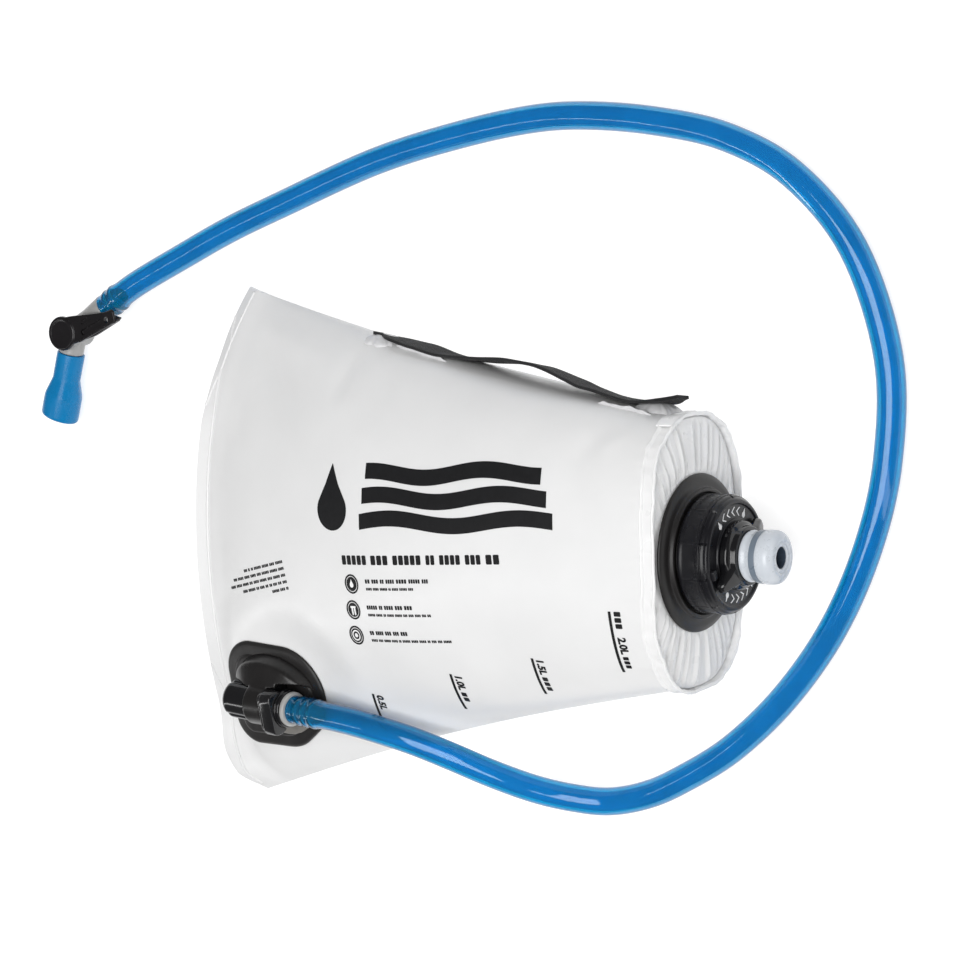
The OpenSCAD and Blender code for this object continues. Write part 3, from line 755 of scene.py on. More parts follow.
def bulge(u, v):
    """Height of the film's section, 1 in the middle and 0 at its edge: fuller towards the end."""
    power = mix(2, END_SQUARENESS, ease(u / 0.9))
    return np.maximum(0, 1 - np.abs(v) ** power) ** (1 / power)


def port_share(x, y, u):
    """1 where the film is drawn flat under the hose port, 0 away from it."""
    away = np.hypot((x - PORT_FOOT.x + 3) / 1.15, y - PORT_FOOT.y)
    return (1 - ease((away - 25) / 24)) * ease(filled(u) / 0.05)


def port_plane(x, y):
    tilt = PORT_UP.x * (x - PORT_FOOT.x) + PORT_UP.y * (y - PORT_FOOT.y)
    return PORT_FOOT.z - tilt / PORT_UP.z


def front_folds(x, y, u, v):
    """Relief of the printed side: slack waves, creases at the corners, puckers at the rim."""
    height = 0.55 * ripple(x, y, 74, 3) + 0.16 * ripple(x, y, 31, 5)
    for start, end, width, rise in (
        ((-116, 52), (-104, 22), 4.5, -1.4), ((-114, 30), (-100, 60), 3.5, 0.7),
        ((-112, -96), (-96, -112), 3.5, -0.8),
        ((-114, 92), (-48, 38), 6.5, -1.1), ((-110, 88), (-30, 66), 5, 0.7),
        ((-116, 62), (-92, 30), 5.5, -1.2), ((-118, 20), (-70, 8), 8, 0.6),
        ((-108, -112), (-84, -104), 4, 0.8), ((-104, -104), (-58, -108), 4.5, -0.8),
        ((-52, -104), (30, -84), 6, 0.8), ((-36, 78), (-44, 50), 5, -0.9),
        ((-22, 76), (-8, 52), 5, -0.7), ((104, 58), (86, 30), 5, -0.6),
        ((116, 52), (98, 40), 3.5, 0.5), ((118, -46), (84, -58), 5, -0.7),
    ):
        height = height + 1.35 * crease(x, y, start, end, width, rise)
    rim = np.exp(-(GUSSET_X - x) / 5)
    puckers = rim * (0.22 * np.sin(y * 0.72 + 1.3 * np.sin(y * 0.11)) + 0.13 * np.sin(y * 1.31))
    return slackness(u, v) * height + (1 - v**8) * puckers * ease((1 - u) / 0.02)


def band_twist(u, v):
    """Height of the seam's free edge over its weld: it curls at the strap-side corner."""
    lift = 1.6 * ease((0.62 - v) / 0.15) * ease((v + 0.75) / 0.15)
    return (lift - 1.8 * ease((v - 0.6) / 0.15)) * (1 - np.clip(u / BAND, 0, 1))


def front_film(u, v, depth=0.0):
    """A point of the printed side; depth goes through the film's thickness."""
    x, y = station(u, v)
    level = middle_height(u, v)
    swell, opened = swelling(u)
    top = level + (FILM_THICK - depth) * (1 - opened)
    top = top + np.maximum(0, (swell - depth * opened) * bulge(u, v))
    y = y - depth * opened * v
    share = port_share(x, y, u) * ease((1 - np.abs(v)) / 0.14)
    z = mix(top + front_folds(x, y, u, v), port_plane(x, y) - depth, share)
    return x, y, z + band_twist(u, v)


def back_film(u, v, depth=0.0):
    """A point of the underside, which lies flat on the floor along its middle."""
    x, y = station(u, v)
    level = middle_height(u, v)
    swell, opened = swelling(u)
    drop = np.maximum(0, (swell - depth * opened) * bulge(u, v))
    drop = drop * (1 + BELLY * np.sin(math.pi * filled(u)))
    waves = slackness(u, v) * (0.8 * ripple(x, y, 66, 11) + 0.25 * ripple(x, y, 27, 12))
    under = level - (FILM_THICK - depth) * (1 - opened) - drop + waves
    y = y - depth * opened * v
    low = np.maximum(depth, under)
    return x, y, low + band_twist(u, v)


def stations_along():
    """Stations, close together in the seam band and near the rim."""
    band = np.linspace(0, 1.6 * BAND, 14, endpoint=False)
    middle = np.linspace(1.6 * BAND, 0.93, 104, endpoint=False)
    return np.concatenate([band, middle, np.linspace(0.93, 1, 16)])


def film_panel(name, film, material, node):
    """One side of the bag: an outer and an inner skin, closed round its edge."""
    along = stations_along()
    across = np.sin(np.linspace(-math.pi / 2, math.pi / 2, 151))
    u, v = np.meshgrid(along, across, indexing="ij")
    rows, columns = u.shape
    skins = [np.stack(film(u, v, depth), axis=-1).reshape(-1, 3) for depth in (0, FILM_THICK)]
    count = rows * columns
    faces = rows_of_quads(rows, columns)
    faces += [tuple(i + count for i in face[::-1]) for face in faces]
    edge = [*range(columns)] + [i * columns + columns - 1 for i in range(1, rows)]
    edge += [(rows - 1) * columns + j for j in range(columns - 2, -1, -1)]
    edge += [i * columns for i in range(rows - 2, 0, -1)]
    for a, b in zip(edge, edge[1:] + edge[:1]):
        faces.append((a, b, b + count, a + count))
    points = np.concatenate(skins)
    panel = piece(name, points, faces, material, angle=60)
    assign(panel, "bag", node)


def weld_bead(name, line, width=1.3, height=0.5):
    """A raised weld line on the seam; line is (v, mm in from the edge) points."""
    points = smooth_route([(v, inward, 0) for v, inward in line], 14)
    v = np.clip(points[:, 0], -1, 1)
    inward = np.clip(points[:, 1], 0.3, None)
    path = np.stack(front_film(inward / BAG_LENGTH, v), axis=-1)
    made = piece(name, *sweep(path, ring_section(width / 2, height, 10)), WELD)
    assign(made, "bag")


def make_seam():
    weld_bead("seam_weld", [(0.99, 5.2), (0.9, 5.3), (0.8, 4.6), (0.7, 3.6), (0.62, 1.8),
                            (0.55, 0.3)])
    weld_bead("seam_weld_long", [(0.69, 3.5), (0.6, 4.4), (0.5, 5.2), (0.3, WELD_IN), (0, WELD_IN),
                                 (-0.4, WELD_IN), (-0.7, WELD_IN), (-0.85, 4.9), (-0.98, 2.5)])
    weld_bead("seam_fold_top", [(0.89, 0.3), (0.84, 2.2), (0.79, 4.4)], 0.9, 0.4)
    weld_bead("seam_fold_low", [(-0.47, 0.3), (-0.56, 2.6), (-0.65, 5)], 0.9, 0.4)


def oval(angle, grow):
    """A point of the end's oval, grown outwards, as (y, z) from the cap's axis."""
    c, s = np.cos(angle), np.sin(angle)
    full = 2 / END_SQUARENESS
    return ((RIM_HALF + 1 + grow) * np.sign(c) * np.abs(c) ** full,
            (RIM_Z + grow) * np.sign(s) * np.abs(s) ** full)


def make_rim():
    """Welded rim round the end: a band of film with a raised line along both edges."""
    profile = [(-3.4, -0.1), (-3.1, 0.55), (-2.6, 0.8), (-2.1, 0.55), (-1.7, 0.0), (-0.4, -0.1),
               (0.9, 0.02), (1.9, 0.15), (2.3, 0.65), (2.8, 0.85), (3.2, 0.6), (3.35, 0),
               (3.0, -0.7), (1.0, -0.95), (-2.8, -0.8)]
    angles = np.linspace(0, math.tau, 480, endpoint=False)
    loops = []
    for angle in angles:
        wave = (0.5 * math.sin(5 * angle + 0.6) + 0.3 * math.sin(11 * angle + 2)
                + 0.16 * math.sin(31 * angle + 0.3))
        kink = (0.25 * math.sin(7 * angle + 1) + 0.14 * math.sin(19 * angle)
                + 0.1 * math.sin(43 * angle + 2))
        loop = []
        for x, out in profile:
            y, z = oval(angle, min(out + kink, 0.9))
            loop.append((GUSSET_X + x + wave * 0.8, y, max(z, -RIM_Z)))
        loops.append(loop)
    points = [p for loop in loops for p in loop]
    faces = rows_of_quads(len(loops), len(profile), wrap_rows=True, wrap_columns=True)
    rim = piece("end_rim", points, faces, WELD, CAP)
    assign(rim, "bag", "gusset_rim")


def make_rim_lap():
    """Short tab where the rim's weld band ends over itself, near the strap."""
    start, end = math.radians(9), math.radians(24)
    rows = []
    for angle in np.linspace(start, end, 12):
        row = []
        for x, out in ((-4.0, 0.7), (-3.6, 1.05), (2.6, 1.2), (3.4, 0.9), (2.6, 0.5), (-3.6, 0.4)):
            lift = 0.35 * math.sin(math.pi * (angle - start) / (end - start))
            y, z = oval(angle, out + lift)
            row.append((GUSSET_X + x, y, z))
        rows.append(row)
    lap = piece("end_rim_lap", *loft(rows), WELD, CAP)
    assign(lap, "bag")


def make_end_film():
    """Oval end film: gathered into fine pleats between the rim and the flange."""
    rows, columns = 46, 360
    hole = 22.0
    angles = np.linspace(0, math.tau, columns, endpoint=False)
    share = np.linspace(0, 1, rows)
    s, angle = np.meshgrid(share, angles, indexing="ij")
    edge_y, edge_z = oval(angle, -1.5)
    y = mix(edge_y, hole * np.cos(angle), s)
    z = mix(edge_z, hole * np.sin(angle), s)
    reach = np.hypot(y, z)
    under_flange = ease((reach - 29.5) / 5)
    pleats = (np.sin(41 * angle + 2.2 * np.sin(3 * angle)) + 0.6 * np.sin(67 * angle + 1.1)
              + 0.5 * np.sin(23 * angle + 0.4))
    tall = np.abs(np.cos(angle)) ** 1.5
    swell = ease(s / 0.1) * under_flange
    dome = mix(0.9, FLANGE_X - GUSSET_X - 0.1, ease(s / 0.62))
    slack = 0.35 * ripple(y, z, 24, 21) + 0.5 * np.sin(math.pi * np.clip(s / 0.6, 0, 1))
    x = GUSSET_X + dome + swell * (0.52 * pleats * (0.25 + 0.75 * tall) + slack)
    outer = np.stack([x, y, z], axis=-1).reshape(-1, 3)
    inner = outer - (0.6, 0, 0)
    faces = rows_of_quads(rows, columns, wrap_columns=True)
    count = rows * columns
    faces += [tuple(i + count for i in face[::-1]) for face in faces]
    for first in (0, (rows - 1) * columns):
        for j in range(columns):
            a, b = first + j, first + (j + 1) % columns
            faces.append((a, b, b + count, a + count))
    end = piece("end_film", np.concatenate([outer, inner]), faces, FILM_END, CAP, angle=70)
    assign(end, "bag", "end_gusset")


# ---------------------------------------------------------------- prints on the bag


def film_height(x, y):
    """Height of the printed side over a plan position."""
    u, v = 0.5 + 0 * x, 0 * x
    for _ in range(16):
        seam = seam_edge(v)
        u = np.clip((x - seam) / (GUSSET_X - seam), 0, 1)
        v = np.clip((y - SEAM_SHIFT * (1 - u)) / half_width(u, v), -1, 1)
    return front_film(u, v)[2]


class Print:
    """Ink shapes drawn flat, then laid on the film."""

    def __init__(self, x, y, turn):
        self.edit = bmesh.new()
        self.origin, self.turn = Vector((x, y)), math.radians(turn)

    def at(self, s, t):
        c, n = math.cos(self.turn), math.sin(self.turn)
        return (self.origin.x + s * c - t * n, self.origin.y + s * n + t * c, 0)

    def shape(self, outline):
        """A filled outline of (s, t) points."""
        self.edit.faces.new([self.edit.verts.new(self.at(s, t)) for s, t in outline])

    def band(self, upper, lower):
        """A filled strip between two lines with the same count of points."""
        top = [self.edit.verts.new(self.at(s, t)) for s, t in upper]
        low = [self.edit.verts.new(self.at(s, t)) for s, t in lower]
        for i in range(len(top) - 1):
            self.edit.faces.new((low[i], low[i + 1], top[i + 1], top[i]))

    def bar(self, s, t, long, high, r=None):
        r = 0.3 * high if r is None else r
        self.shape(box_loop(s, t, s + long, t + high, r))

    def disc(self, s, t, r, hole=0.0):
        count = 40
        turns = [math.tau * k / count for k in range(count + 1)]
        if hole:
            self.band([(s + r * math.cos(a), t + r * math.sin(a)) for a in turns],
                      [(s + hole * math.cos(a), t + hole * math.sin(a)) for a in turns])
        else:
            self.shape([(s + r * math.cos(a), t + r * math.sin(a)) for a in turns[:-1]])

    def drop(self, s, t, r):
        """A water drop with its point up; t is the middle of its round part."""
        turns = [math.radians(a) for a in range(-205, 26, 10)]
        self.shape([(s + r * math.cos(a), t + r * math.sin(a)) for a in turns]
                   + [(s + 0.42 * r, t + 1.25 * r), (s, t + 2.2 * r), (s - 0.42 * r, t + 1.25 * r)])

    def digits(self, text, s, t, size, squeeze):
        """Plain figures, such as those of a scale."""
        data = bpy.data.curves.new("figures", "FONT")
        data.body, data.size, data.resolution_u = text, size, 3
        data.offset = 0.05 * size
        flat = add_object("figures", data)
        bpy.context.view_layer.update()
        mesh = flat.to_mesh()
        for face in mesh.polygons:
            self.edit.faces.new([self.edit.verts.new(self.at(
                s + squeeze * mesh.vertices[i].co.x, t + mesh.vertices[i].co.y))
                for i in face.vertices])
        flat.to_mesh_clear()
        bpy.data.objects.remove(flat)
        bpy.data.curves.remove(data)

    def words(self, s, t, long, high, seed, right=False):
        """A line of greeked words: short bars whose lengths vary."""
        draw = np.random.default_rng(seed)
        used = 0.0
        spans = []
        while used < long - 1.2 * high:
            step = min(draw.uniform(1.6, 4.6) * high, long - used)
            spans.append((used, step - 0.55 * high))
            used += step
        shift = -used + 0.55 * high if right else 0
        for start, step in spans:
            letters = max(1, round(step / (0.78 * high)))
            pitch = step / letters
            for k in range(letters):
                self.bar(s + shift + start + k * pitch, t, 0.78 * pitch, high, 0.15 * high)

    def lay(self, name, ink=None, lift=0.07, thick=0.05):
        """Lays the ink on the film as a thin closed layer."""
        edit = self.edit
        bmesh.ops.remove_doubles(edit, verts=edit.verts, dist=0.002)
        xs = [v.co.x for v in edit.verts]
        ys = [v.co.y for v in edit.verts]
        for axis, values in ((0, xs), (1, ys)):
            normal = Vector((1 - axis, axis, 0))
            for cut in np.arange(min(values) + 2.0, max(values), 2.0):
                bmesh.ops.bisect_plane(edit, geom=edit.verts[:] + edit.edges[:] + edit.faces[:],
                                       plane_co=normal * cut, plane_no=normal)
        bmesh.ops.triangulate(edit, faces=[f for f in edit.faces if len(f.verts) > 4])
        for face in edit.faces:
            if face.normal.z < 0:
                face.normal_flip()
        solid = bmesh.ops.extrude_face_region(edit, geom=edit.faces[:])
        upper = {g for g in solid["geom"] if isinstance(g, bmesh.types.BMVert)}
        heights = film_height(np.array([v.co.x for v in edit.verts]),
                              np.array([v.co.y for v in edit.verts]))
        for vert, z in zip(edit.verts, heights):
            vert.co.z = z + lift + (thick if vert in upper else 0)
        mesh = bpy.data.meshes.new(name)
        edit.to_mesh(mesh)
        edit.free()
        mesh.transform(Matrix.Scale(MM, 4))
        mesh.materials.append(ink or INK_BLACK)
        finish_mesh(mesh, 30)
        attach(add_object(name, mesh), "bag")


def wave_line(start, long, level, rise, phase):
    count = 46
    return [(start + long * k / count,
             level + rise * math.sin(math.tau * (1.5 * k / count) + phase)) for k in range(count + 1)]


def make_prints():
    """A generic drop-and-waves mark, greeked notes with round symbols, and the litre scale."""
    mark = Print(-43, 2.2, 3.4)
    mark.drop(10, 9, 8.6)
    stripe = 6.4
    for row in range(3):
        level, begin = 1 + 9.5 * row, 26 + 1.5 * row
        long = 126 - begin - 3 * row
        mark.band(wave_line(begin, long, level + stripe, 1.5, 0.7 * row),
                  wave_line(begin, long, level, 1.5, 0.7 * row))
    mark.lay("print_mark")
    title = Print(-28, -10.5, 4.2)
    title.words(0, 0, 88, 3.9, 4)
    title.lay("print_title")
    notes = Print(-23.5, -18.2, 4.5)
    for row in range(3):
        level, shift = -10.9 * row, -1.5 * row
        notes.disc(shift, level, 4.1, 3.35)
        notes.disc(shift, level, 3.0)
        notes.words(shift + 8.5, level + 0.3, (37, 27, 23)[row], 1.7, 30 + row)
        notes.words(shift + 8.5, level - 2.6, (28, 36, 46)[row], 1.1, 40 + row)
    notes.lay("print_notes")
    signs = Print(-23.5, -18.2, 4.5)
    signs.drop(0, -0.4, 1.1)
    signs.bar(-2.5, -13.2, 0.9, 3.4)
    signs.bar(-1.05, -13.2, 0.9, 3.4)
    signs.bar(-2.9, -10.2, 3.0, 0.9)
    signs.disc(-3, -21.8, 2.3, 1.7)
    signs.disc(-3, -21.8, 0.9)
    signs.lay("print_signs", INK_WHITE, 0.13, 0.04)
    care = Print(-65.5, -13, 14)
    for row, long in enumerate((28, 37, 40, 33, 13)):
        care.words(0, -2.85 * row, long, 1.25, 60 + row, right=True)
    care.lay("print_care")
    scale = ((-22.8, -66.5, -97, "0.5L", 0, 18), (24.8, -52.6, -93.5, "1.0L", 0, 16.5),
             (68.2, -42, -91.5, "1.5L", 0, 16), (109.6, -19.4, -88.5, "2.0L", 10.4, 25))
    for index, (x, y, turn, text, skip, long) in enumerate(scale):
        line = Print(x, y, turn)
        line.bar(0, -2.4, long, 1.25, 0.1)
        if skip:
            line.words(0, 0.2, skip - 1.4, 3, 80)
        line.digits(text, skip, 0.2, 4.7, 0.85)
        if index:
            line.words(skip + 8, 0.2, long - skip - 8, 2.5, 90 + index)
        line.lay("print_scale_%d" % (index + 1))


# ---------------------------------------------------------------- carry strap

STRAP_ROUTE = [
    (-34, 81.3, 17.5), (-24, 79.3, 18.5), (-12, 76.8, 19.7), (0, 75, 21), (10, 73.6, 22),
    (24, 73, 24), (38, 73, 25), (48, 72, 26.5), (55, 71, 27), (63, 68.8, 28), (71, 66, 29),
    (78, 63, 30), (84, 61.2, 30.5), (90, 59.7, 31), (98, 58.4, 32), (106, 57.8, 33),
    (115, 58.3, 33.5), (124, 60.5, 34.5),
]
STRAP_THICK = 1.3
STRAP_WIDTH = 16.0


def make_strap():
    """Webbing on edge along the bag's side; it turns a little so that its face shows at both ends."""
    path = smooth_route(STRAP_ROUTE, 6)
    path[:, 1] -= 1.2 * ease((path[:, 0] + 10) / 14) * ease((86 - path[:, 0]) / 20)
    share = np.linspace(0, 1, len(path))
    lean = (-0.19 + 0.17 * np.exp(-(((share - 0.14) / 0.09) ** 2))
            + 0.07 * np.exp(-(((share - 0.62) / 0.07) ** 2))
            + 0.08 * np.exp(-(((share - 0.86) / 0.06) ** 2)))
    deep, tall = STRAP_THICK / 2, STRAP_WIDTH / 2
    section = box_loop(-deep, -tall, deep, tall, 0.5, steps=2)
    ups = [(0, -math.sin(a), math.cos(a)) for a in lean]
    loops, uvs = [], []
    run = np.concatenate([[0], np.cumsum(np.linalg.norm(np.diff(path, axis=0), axis=1))])
    inner = [(deep, STRAP_WIDTH * (0.5 - k / 12) * 0.94) for k in range(1, 12)]
    outer = [(-deep, -STRAP_WIDTH * (0.5 - k / 12) * 0.94) for k in range(1, 12)]
    half = len(section) // 2
    around = section[:half] + inner[::-1] + section[half:] + outer[::-1]
    for p, along, lean_up, far in zip(path, directions(path), ups, run):
        side, up = section_axes(along, lean_up)
        narrow = 1 - 0.55 * ease((far - run[-1] + 9) / 9) - 0.6 * (1 - ease((far - 4) / 8))
        loops.append([tuple(p + side * a + up * b * narrow) for a, b in around])
        uvs.append([(far, b + a * 3) for a, b in around])
    points, faces = loft(loops)
    strap = piece("strap_webbing", points, faces, WEBBING)
    layer = strap.data.uv_layers.new(name="weave")
    flat = [uv for row in uvs for uv in row] + [(0, 0), (run[-1], 0)]
    for loop in strap.data.loops:
        index = loop.vertex_index
        if index < len(flat):
            layer.data[loop.index].uv = flat[index]
    assign(strap, "bag", "carry_strap")


def make_patch(name, node, turn):
    """Film tab welded over one end of the strap: a thin lens with puckered edges."""
    low, high = corners(node)
    centre = (low + high) / 2
    half_long, half_deep, half_tall = (high - low) / 2
    place = Matrix.Translation(centre * MM) @ Matrix.Rotation(math.radians(turn), 4, "Z")
    loops = []
    for share, depth in ((0.5, -0.75), (0.8, -0.7), (0.96, -0.45), (1, -0.2), (0.97, 0.0),
                         (0.85, 0.3), (0.65, 0.62), (0.4, 0.85), (0.15, 0.95)):
        loop = []
        for angle in np.linspace(0, math.tau, 96, endpoint=False):
            c, n = math.cos(angle), math.sin(angle)
            pucker = 0.05 * math.sin(9 * angle + 1) + 0.03 * math.sin(17 * angle)
            reach = share * (1 + pucker * share)
            x = half_long * reach * math.copysign(abs(c) ** 0.75, c)
            z = half_tall * reach * math.copysign(abs(n) ** 0.75, n)
            wave = 0.25 * math.sin(0.9 * x + 0.5 * z) * share
            loop.append((x, half_deep * depth + wave * 0.6, z))
        loops.append(loop)
    # The tab takes the darker copy of the film: painted shade.
    tab = piece(name, *loft(loops), SHADED_TAB, place)
    assign(tab, "bag", node)


def make_strap_hem(name, start, end, height, reach, seed):
    """Crumpled free edge of film between the bag's side and the strap; start and end are stations."""
    draw = np.random.default_rng(seed)
    phase = draw.uniform(0, math.tau, 3)
    rows = []
    for share in np.linspace(0, 1, 44):
        u = mix(start, end, share)
        x, y, z = front_film(np.array(u), np.array(0.985))
        fade = float(ease(share / 0.15) * ease((1 - share) / 0.15))
        crumple = 0.5 * math.sin(9 * share + phase[0]) + 0.35 * math.sin(23 * share + phase[1])
        out = fade * (reach + 0.5 * crumple)
        up = fade * (height + 0.4 * math.sin(15 * share + phase[2]))
        rows.append([(x, y - 1.2, z + 0.1), (x, y + 0.5 * out, z + 0.55 * up),
                     (x + 0.2, y + out, z + up), (x + 0.2, y + out + 0.35, z + up - 0.15),
                     (x, y + 0.5 * out + 0.4, z + 0.45 * up - 0.3), (x, y - 1.2, z - 0.5)])
    # The hem takes the darker copy of the film: painted shade.
    hem = piece(name, *loft(rows), SHADED_TAB, angle=50)
    assign(hem, "bag")


# ---------------------------------------------------------------- cap and spout


def lathed(name, profile, material, body, node, steps=160, closed=True, shape=None,
           place=CAP, rounding=5):
    """A turned piece that stands for a CAD node."""
    outline = rounded(profile, closed, rounding)
    made = piece(name, *lathe(outline, steps, closed, shape), material, place)
    return assign(made, body, node)


def make_filler_port():
    """Flange with a raised sealing lip, and a neck with a three-turn thread."""
    x, bore = FLANGE_X, 17.5
    threads = []
    for k in range(3):
        middle = NECK_END - 1.9 - 2.8 * k
        threads = [(middle - 1.0, 20.2, 0.2), (middle - 0.35, 21.0, 0.25),
                   (middle + 0.35, 21.0, 0.25), (middle + 1.0, 20.2, 0.2)] + threads
    profile = [(GUSSET_X, bore, 0.2), (GUSSET_X, 21.2, 0.2), (x, 21.2, 0.3), (x + 0.1, 30.2, 0.3),
               (x + 0.5, 31, 0.4), (x + 1.6, 30.7, 0.8), (x + 2.5, 28.6, 1), (x + 2.6, 25.8, 0.5),
               (x + 3.1, 25.4, 0.3), (x + 4.2, 25.0, 0.35), (x + 4.2, 23.8, 0.35),
               (x + 2.7, 23.4, 0.4), (x + 2.6, 20.2, 0.4), *threads, (NECK_END, 20.2, 0.5),
               (NECK_END, bore, 0.5)]

    def flats(px, r, angle):
        return px, r + (0.12 * math.sin(3 * angle + 0.5) if r > 26 else 0)

    lathed("filler_port", profile, PORT_BLACK, "bag", "cap_port", shape=flats)


def make_cap():
    """Screw cap: shallow grip panels with fine ribs between them and a notched, stepped rim."""
    r, x0, x1 = 23.3, CAP_START, CAP_FACE
    panels = 10

    def grip(x, radius, angle):
        place = (angle * panels / math.tau) % 1
        middle = abs(place - 0.5) * 2
        if x < x1 - 3.7 and radius > r - 0.8:
            body = ease((x - x0 - 1) / 1.2) * ease((x1 - 4.4 - x) / 1.2)
            radius -= body * (0.3 * ease((0.97 - middle) / 0.04) * (1 - 0.3 * middle**2))
        elif x < x1 - 1.0 and 20 < radius:
            radius -= 0.7 * ease((middle - 0.94) / 0.03)
        return x, radius

    skirt = [(x0 + 0.6 + k * (x1 - 4.2 - x0 - 0.6) / 14, r, 0) for k in range(15)]
    profile = [(x0, r - 2, 0.3), (x0, r - 0.35, 0.3), *skirt, (x1 - 3.7, r, 0.15),
               (x1 - 3.5, r - 0.55, 0.2), (x1 - 3.1, r - 0.55, 0.15), (x1 - 2.9, r - 0.15, 0.2),
               (x1 - 1.7, r - 0.5, 0.35),
               (x1 - 1.2, r - 1.15, 0.2), (x1 - 0.5, r - 1.5, 0.4), (x1, r - 2.2, 0.35),
               (x1, r - 3.2, 0.35), (x1 - 0.75, r - 3.8, 0.3), (x1 - 0.75, 14.4, 0.2),
               (x1, 14.2, 0.2), (x1, 8.9, 0.2), (x1 - 2.8, 8.9, 0), (x1 - 2.8, r - 2, 0.3)]
    lathed("screw_cap", profile, CAP_BLACK, "cap", "cap_shell", steps=480,
           shape=grip, rounding=3)


def make_cap_stops():
    """Two raised stops on the cap's face, where the twist collar's wings end their travel."""
    for index, turn in enumerate((16, 196)):
        place = CAP @ Matrix.Rotation(math.radians(turn - 90), 4, "X") @ ACROSS
        loop = box_loop(17.8, -1.9, 20.6, 1.9, 0.8)
        stop = plate("cap_stop_%d" % (index + 1), loop, CAP_FACE - 0.9, CAP_FACE + 1.5, 0.5,
                     CAP_BLACK, place)
        assign(stop, "cap")


def face_shape(name, outlines, x, material, body):
    """Thin ink shapes on a face across the cap's axis; outlines are (y, z) from that axis."""
    thick = 0.06
    points, faces = [], []
    for outline in outlines:
        count, first = len(outline), len(points)
        points += [(x, y, z) for y, z in outline] + [(x + thick, y, z) for y, z in outline]
        faces.append(tuple(range(first, first + count)))
        faces.append(tuple(range(first + 2 * count - 1, first + count - 1, -1)))
        for i in range(count):
            n = (i + 1) % count
            faces.append((first + i, first + n, first + count + n, first + count + i))
    made = piece(name, points, faces, material, CAP, 20)
    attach(made, body)


def make_cap_print():
    """Two arcs of chevrons between small drops, which show the way the spout turns."""
    shapes = []
    lead, lag = math.radians(3.4), math.radians(2.4)
    inner, middle, outer = 15.2, 16.9, 18.6
    chevron = [(outer, -lead), (middle, lead), (inner, -lead), (inner, -lead + lag),
               (middle, lead + lag), (outer, -lead + lag)]
    drop = [(16.2 + 1.1 * math.cos(t), 1.1 * math.sin(t)) for t in np.radians(range(30, 331, 20))]
    drop.append((19.0, 0))
    for centre in (math.radians(8), math.radians(188)):
        for k in range(4):
            angle = centre + math.radians((k - 1.5) * 12.5)
            shapes.append([(r * math.cos(angle + a), r * math.sin(angle + a)) for r, a in chevron])
        for side in (-1, 1):
            angle = centre + side * math.radians(33)
            shapes.append([(r * math.cos(angle) - s * math.sin(angle),
                            r * math.sin(angle) + s * math.cos(angle)) for r, s in drop])
    face_shape("cap_print", shapes, CAP_FACE - 0.72, INK_WHITE, "cap")


def make_rotor():
    """Twist collar: a stepped ring with two ramped wings."""
    x0, x1 = ROTOR_START, ROTOR_END
    profile = [(x0, 9, 0.2), (x0, 13.4, 0.3), (x0 + 2.6, 13.4, 0.6), (x0 + 3.3, 12.4, 0.4),
               (x0 + 3.6, 11.8, 0.3), (x1, 11.5, 0.6), (x1, 6.5, 0.3), (x1 - 2.1, 6.5, 0.1),
               (x1 - 2.2, 9, 0.2)]
    lathed("twist_collar", profile, GLOSS_BLACK, "rotor", "valve_rotor")
    for index, turn in enumerate((37, 217)):
        place = CAP @ Matrix.Rotation(math.radians(turn - 90), 4, "X")
        loops = []
        for out, half, top in ((10.4, 5.0, 5.6), (12, 4.6, 5.4), (14, 3.7, 4.6), (16, 3.0, 3.8),
                               (17.8, 2.4, 3.2), (18.8, 1.7, 2.6), (19.0, 1.2, 2.0)):
            loop = rounded([(-half, 0.1, 0.4), (half, 0.1, 0.4), (half * 0.8, top, 0.9),
                            (-half * 0.8, top, 0.9)])
            loops.append([(x0 + z, out, y) for y, z in loop])
        wing = piece("twist_wing_%d" % (index + 1), *loft(loops), GLOSS_BLACK, place)
        assign(wing, "rotor")


def make_spout():
    """Soft spout: a flared skirt, a waist with a grey band, and a full rounded front."""
    x0, x1 = ROTOR_END, SPOUT_END
    profile = [(x0 - 2, 4.2, 0.2), (x0 - 2, 6.3, 0.2), (x0 + 0.05, 6.3, 0.2), (x0 + 0.05, 9.7, 0.5),
               (x0 + 1.2, 10.2, 0.7), (x0 + 2.6, 9.5, 0.7), (x0 + 4.5, 9.9, 0.3),
               (x0 + 4.6, 9.7, 0.1), (x0 + 7.1, 9.7, 0.1), (x0 + 7.2, 10.3, 0.2),
               (x0 + 8.4, 10.6, 0.5), (x1 - 1.4, 10.5, 2.6), (x1, 8.0, 1.5), (x1, 6.6, 0.4),
               (x1 - 0.5, 6.1, 0.3), (x1 - 0.5, 5.5, 0.3),
               (x1 - 0.1, 5.0, 0.3), (x1 - 0.3, 4.3, 0.3), (x1 - 1.2, 4.2, 0.3)]
    sleeve = lathed("spout_sleeve", profile, SPOUT_CLEAR, "rotor", "spout")
    # Faces inside the bore get the near-black material: painted shade.
    sleeve.data.materials.append(SPOUT_BORE)
    for face in sleeve.data.polygons:
        away = math.hypot(face.center.y, face.center.z - RIM_Z * MM)
        if away < 4.6 * MM and face.center.x < (x1 - 0.8) * MM:
            face.material_index = 1
    band = [(x0 + 4.6, 9.85, 0.1), (x0 + 4.6, 10.3, 0.25), (x0 + 7.2, 10.4, 0.25),
            (x0 + 7.2, 9.85, 0.1)]
    lathed("spout_ring", band, SPOUT_BAND, "rotor", "spout_band")


# ---------------------------------------------------------------- hose port


def port_outline():
    """The flange's rounded triangle, drawn round four circles (x, y, r)."""
    return convex_loop([(-15.4, 6.3, 16.6), (2.8, 1.8, 21.3), (-3, -4, 20.5), (-21, -14.6, 11.2)],
                       160)


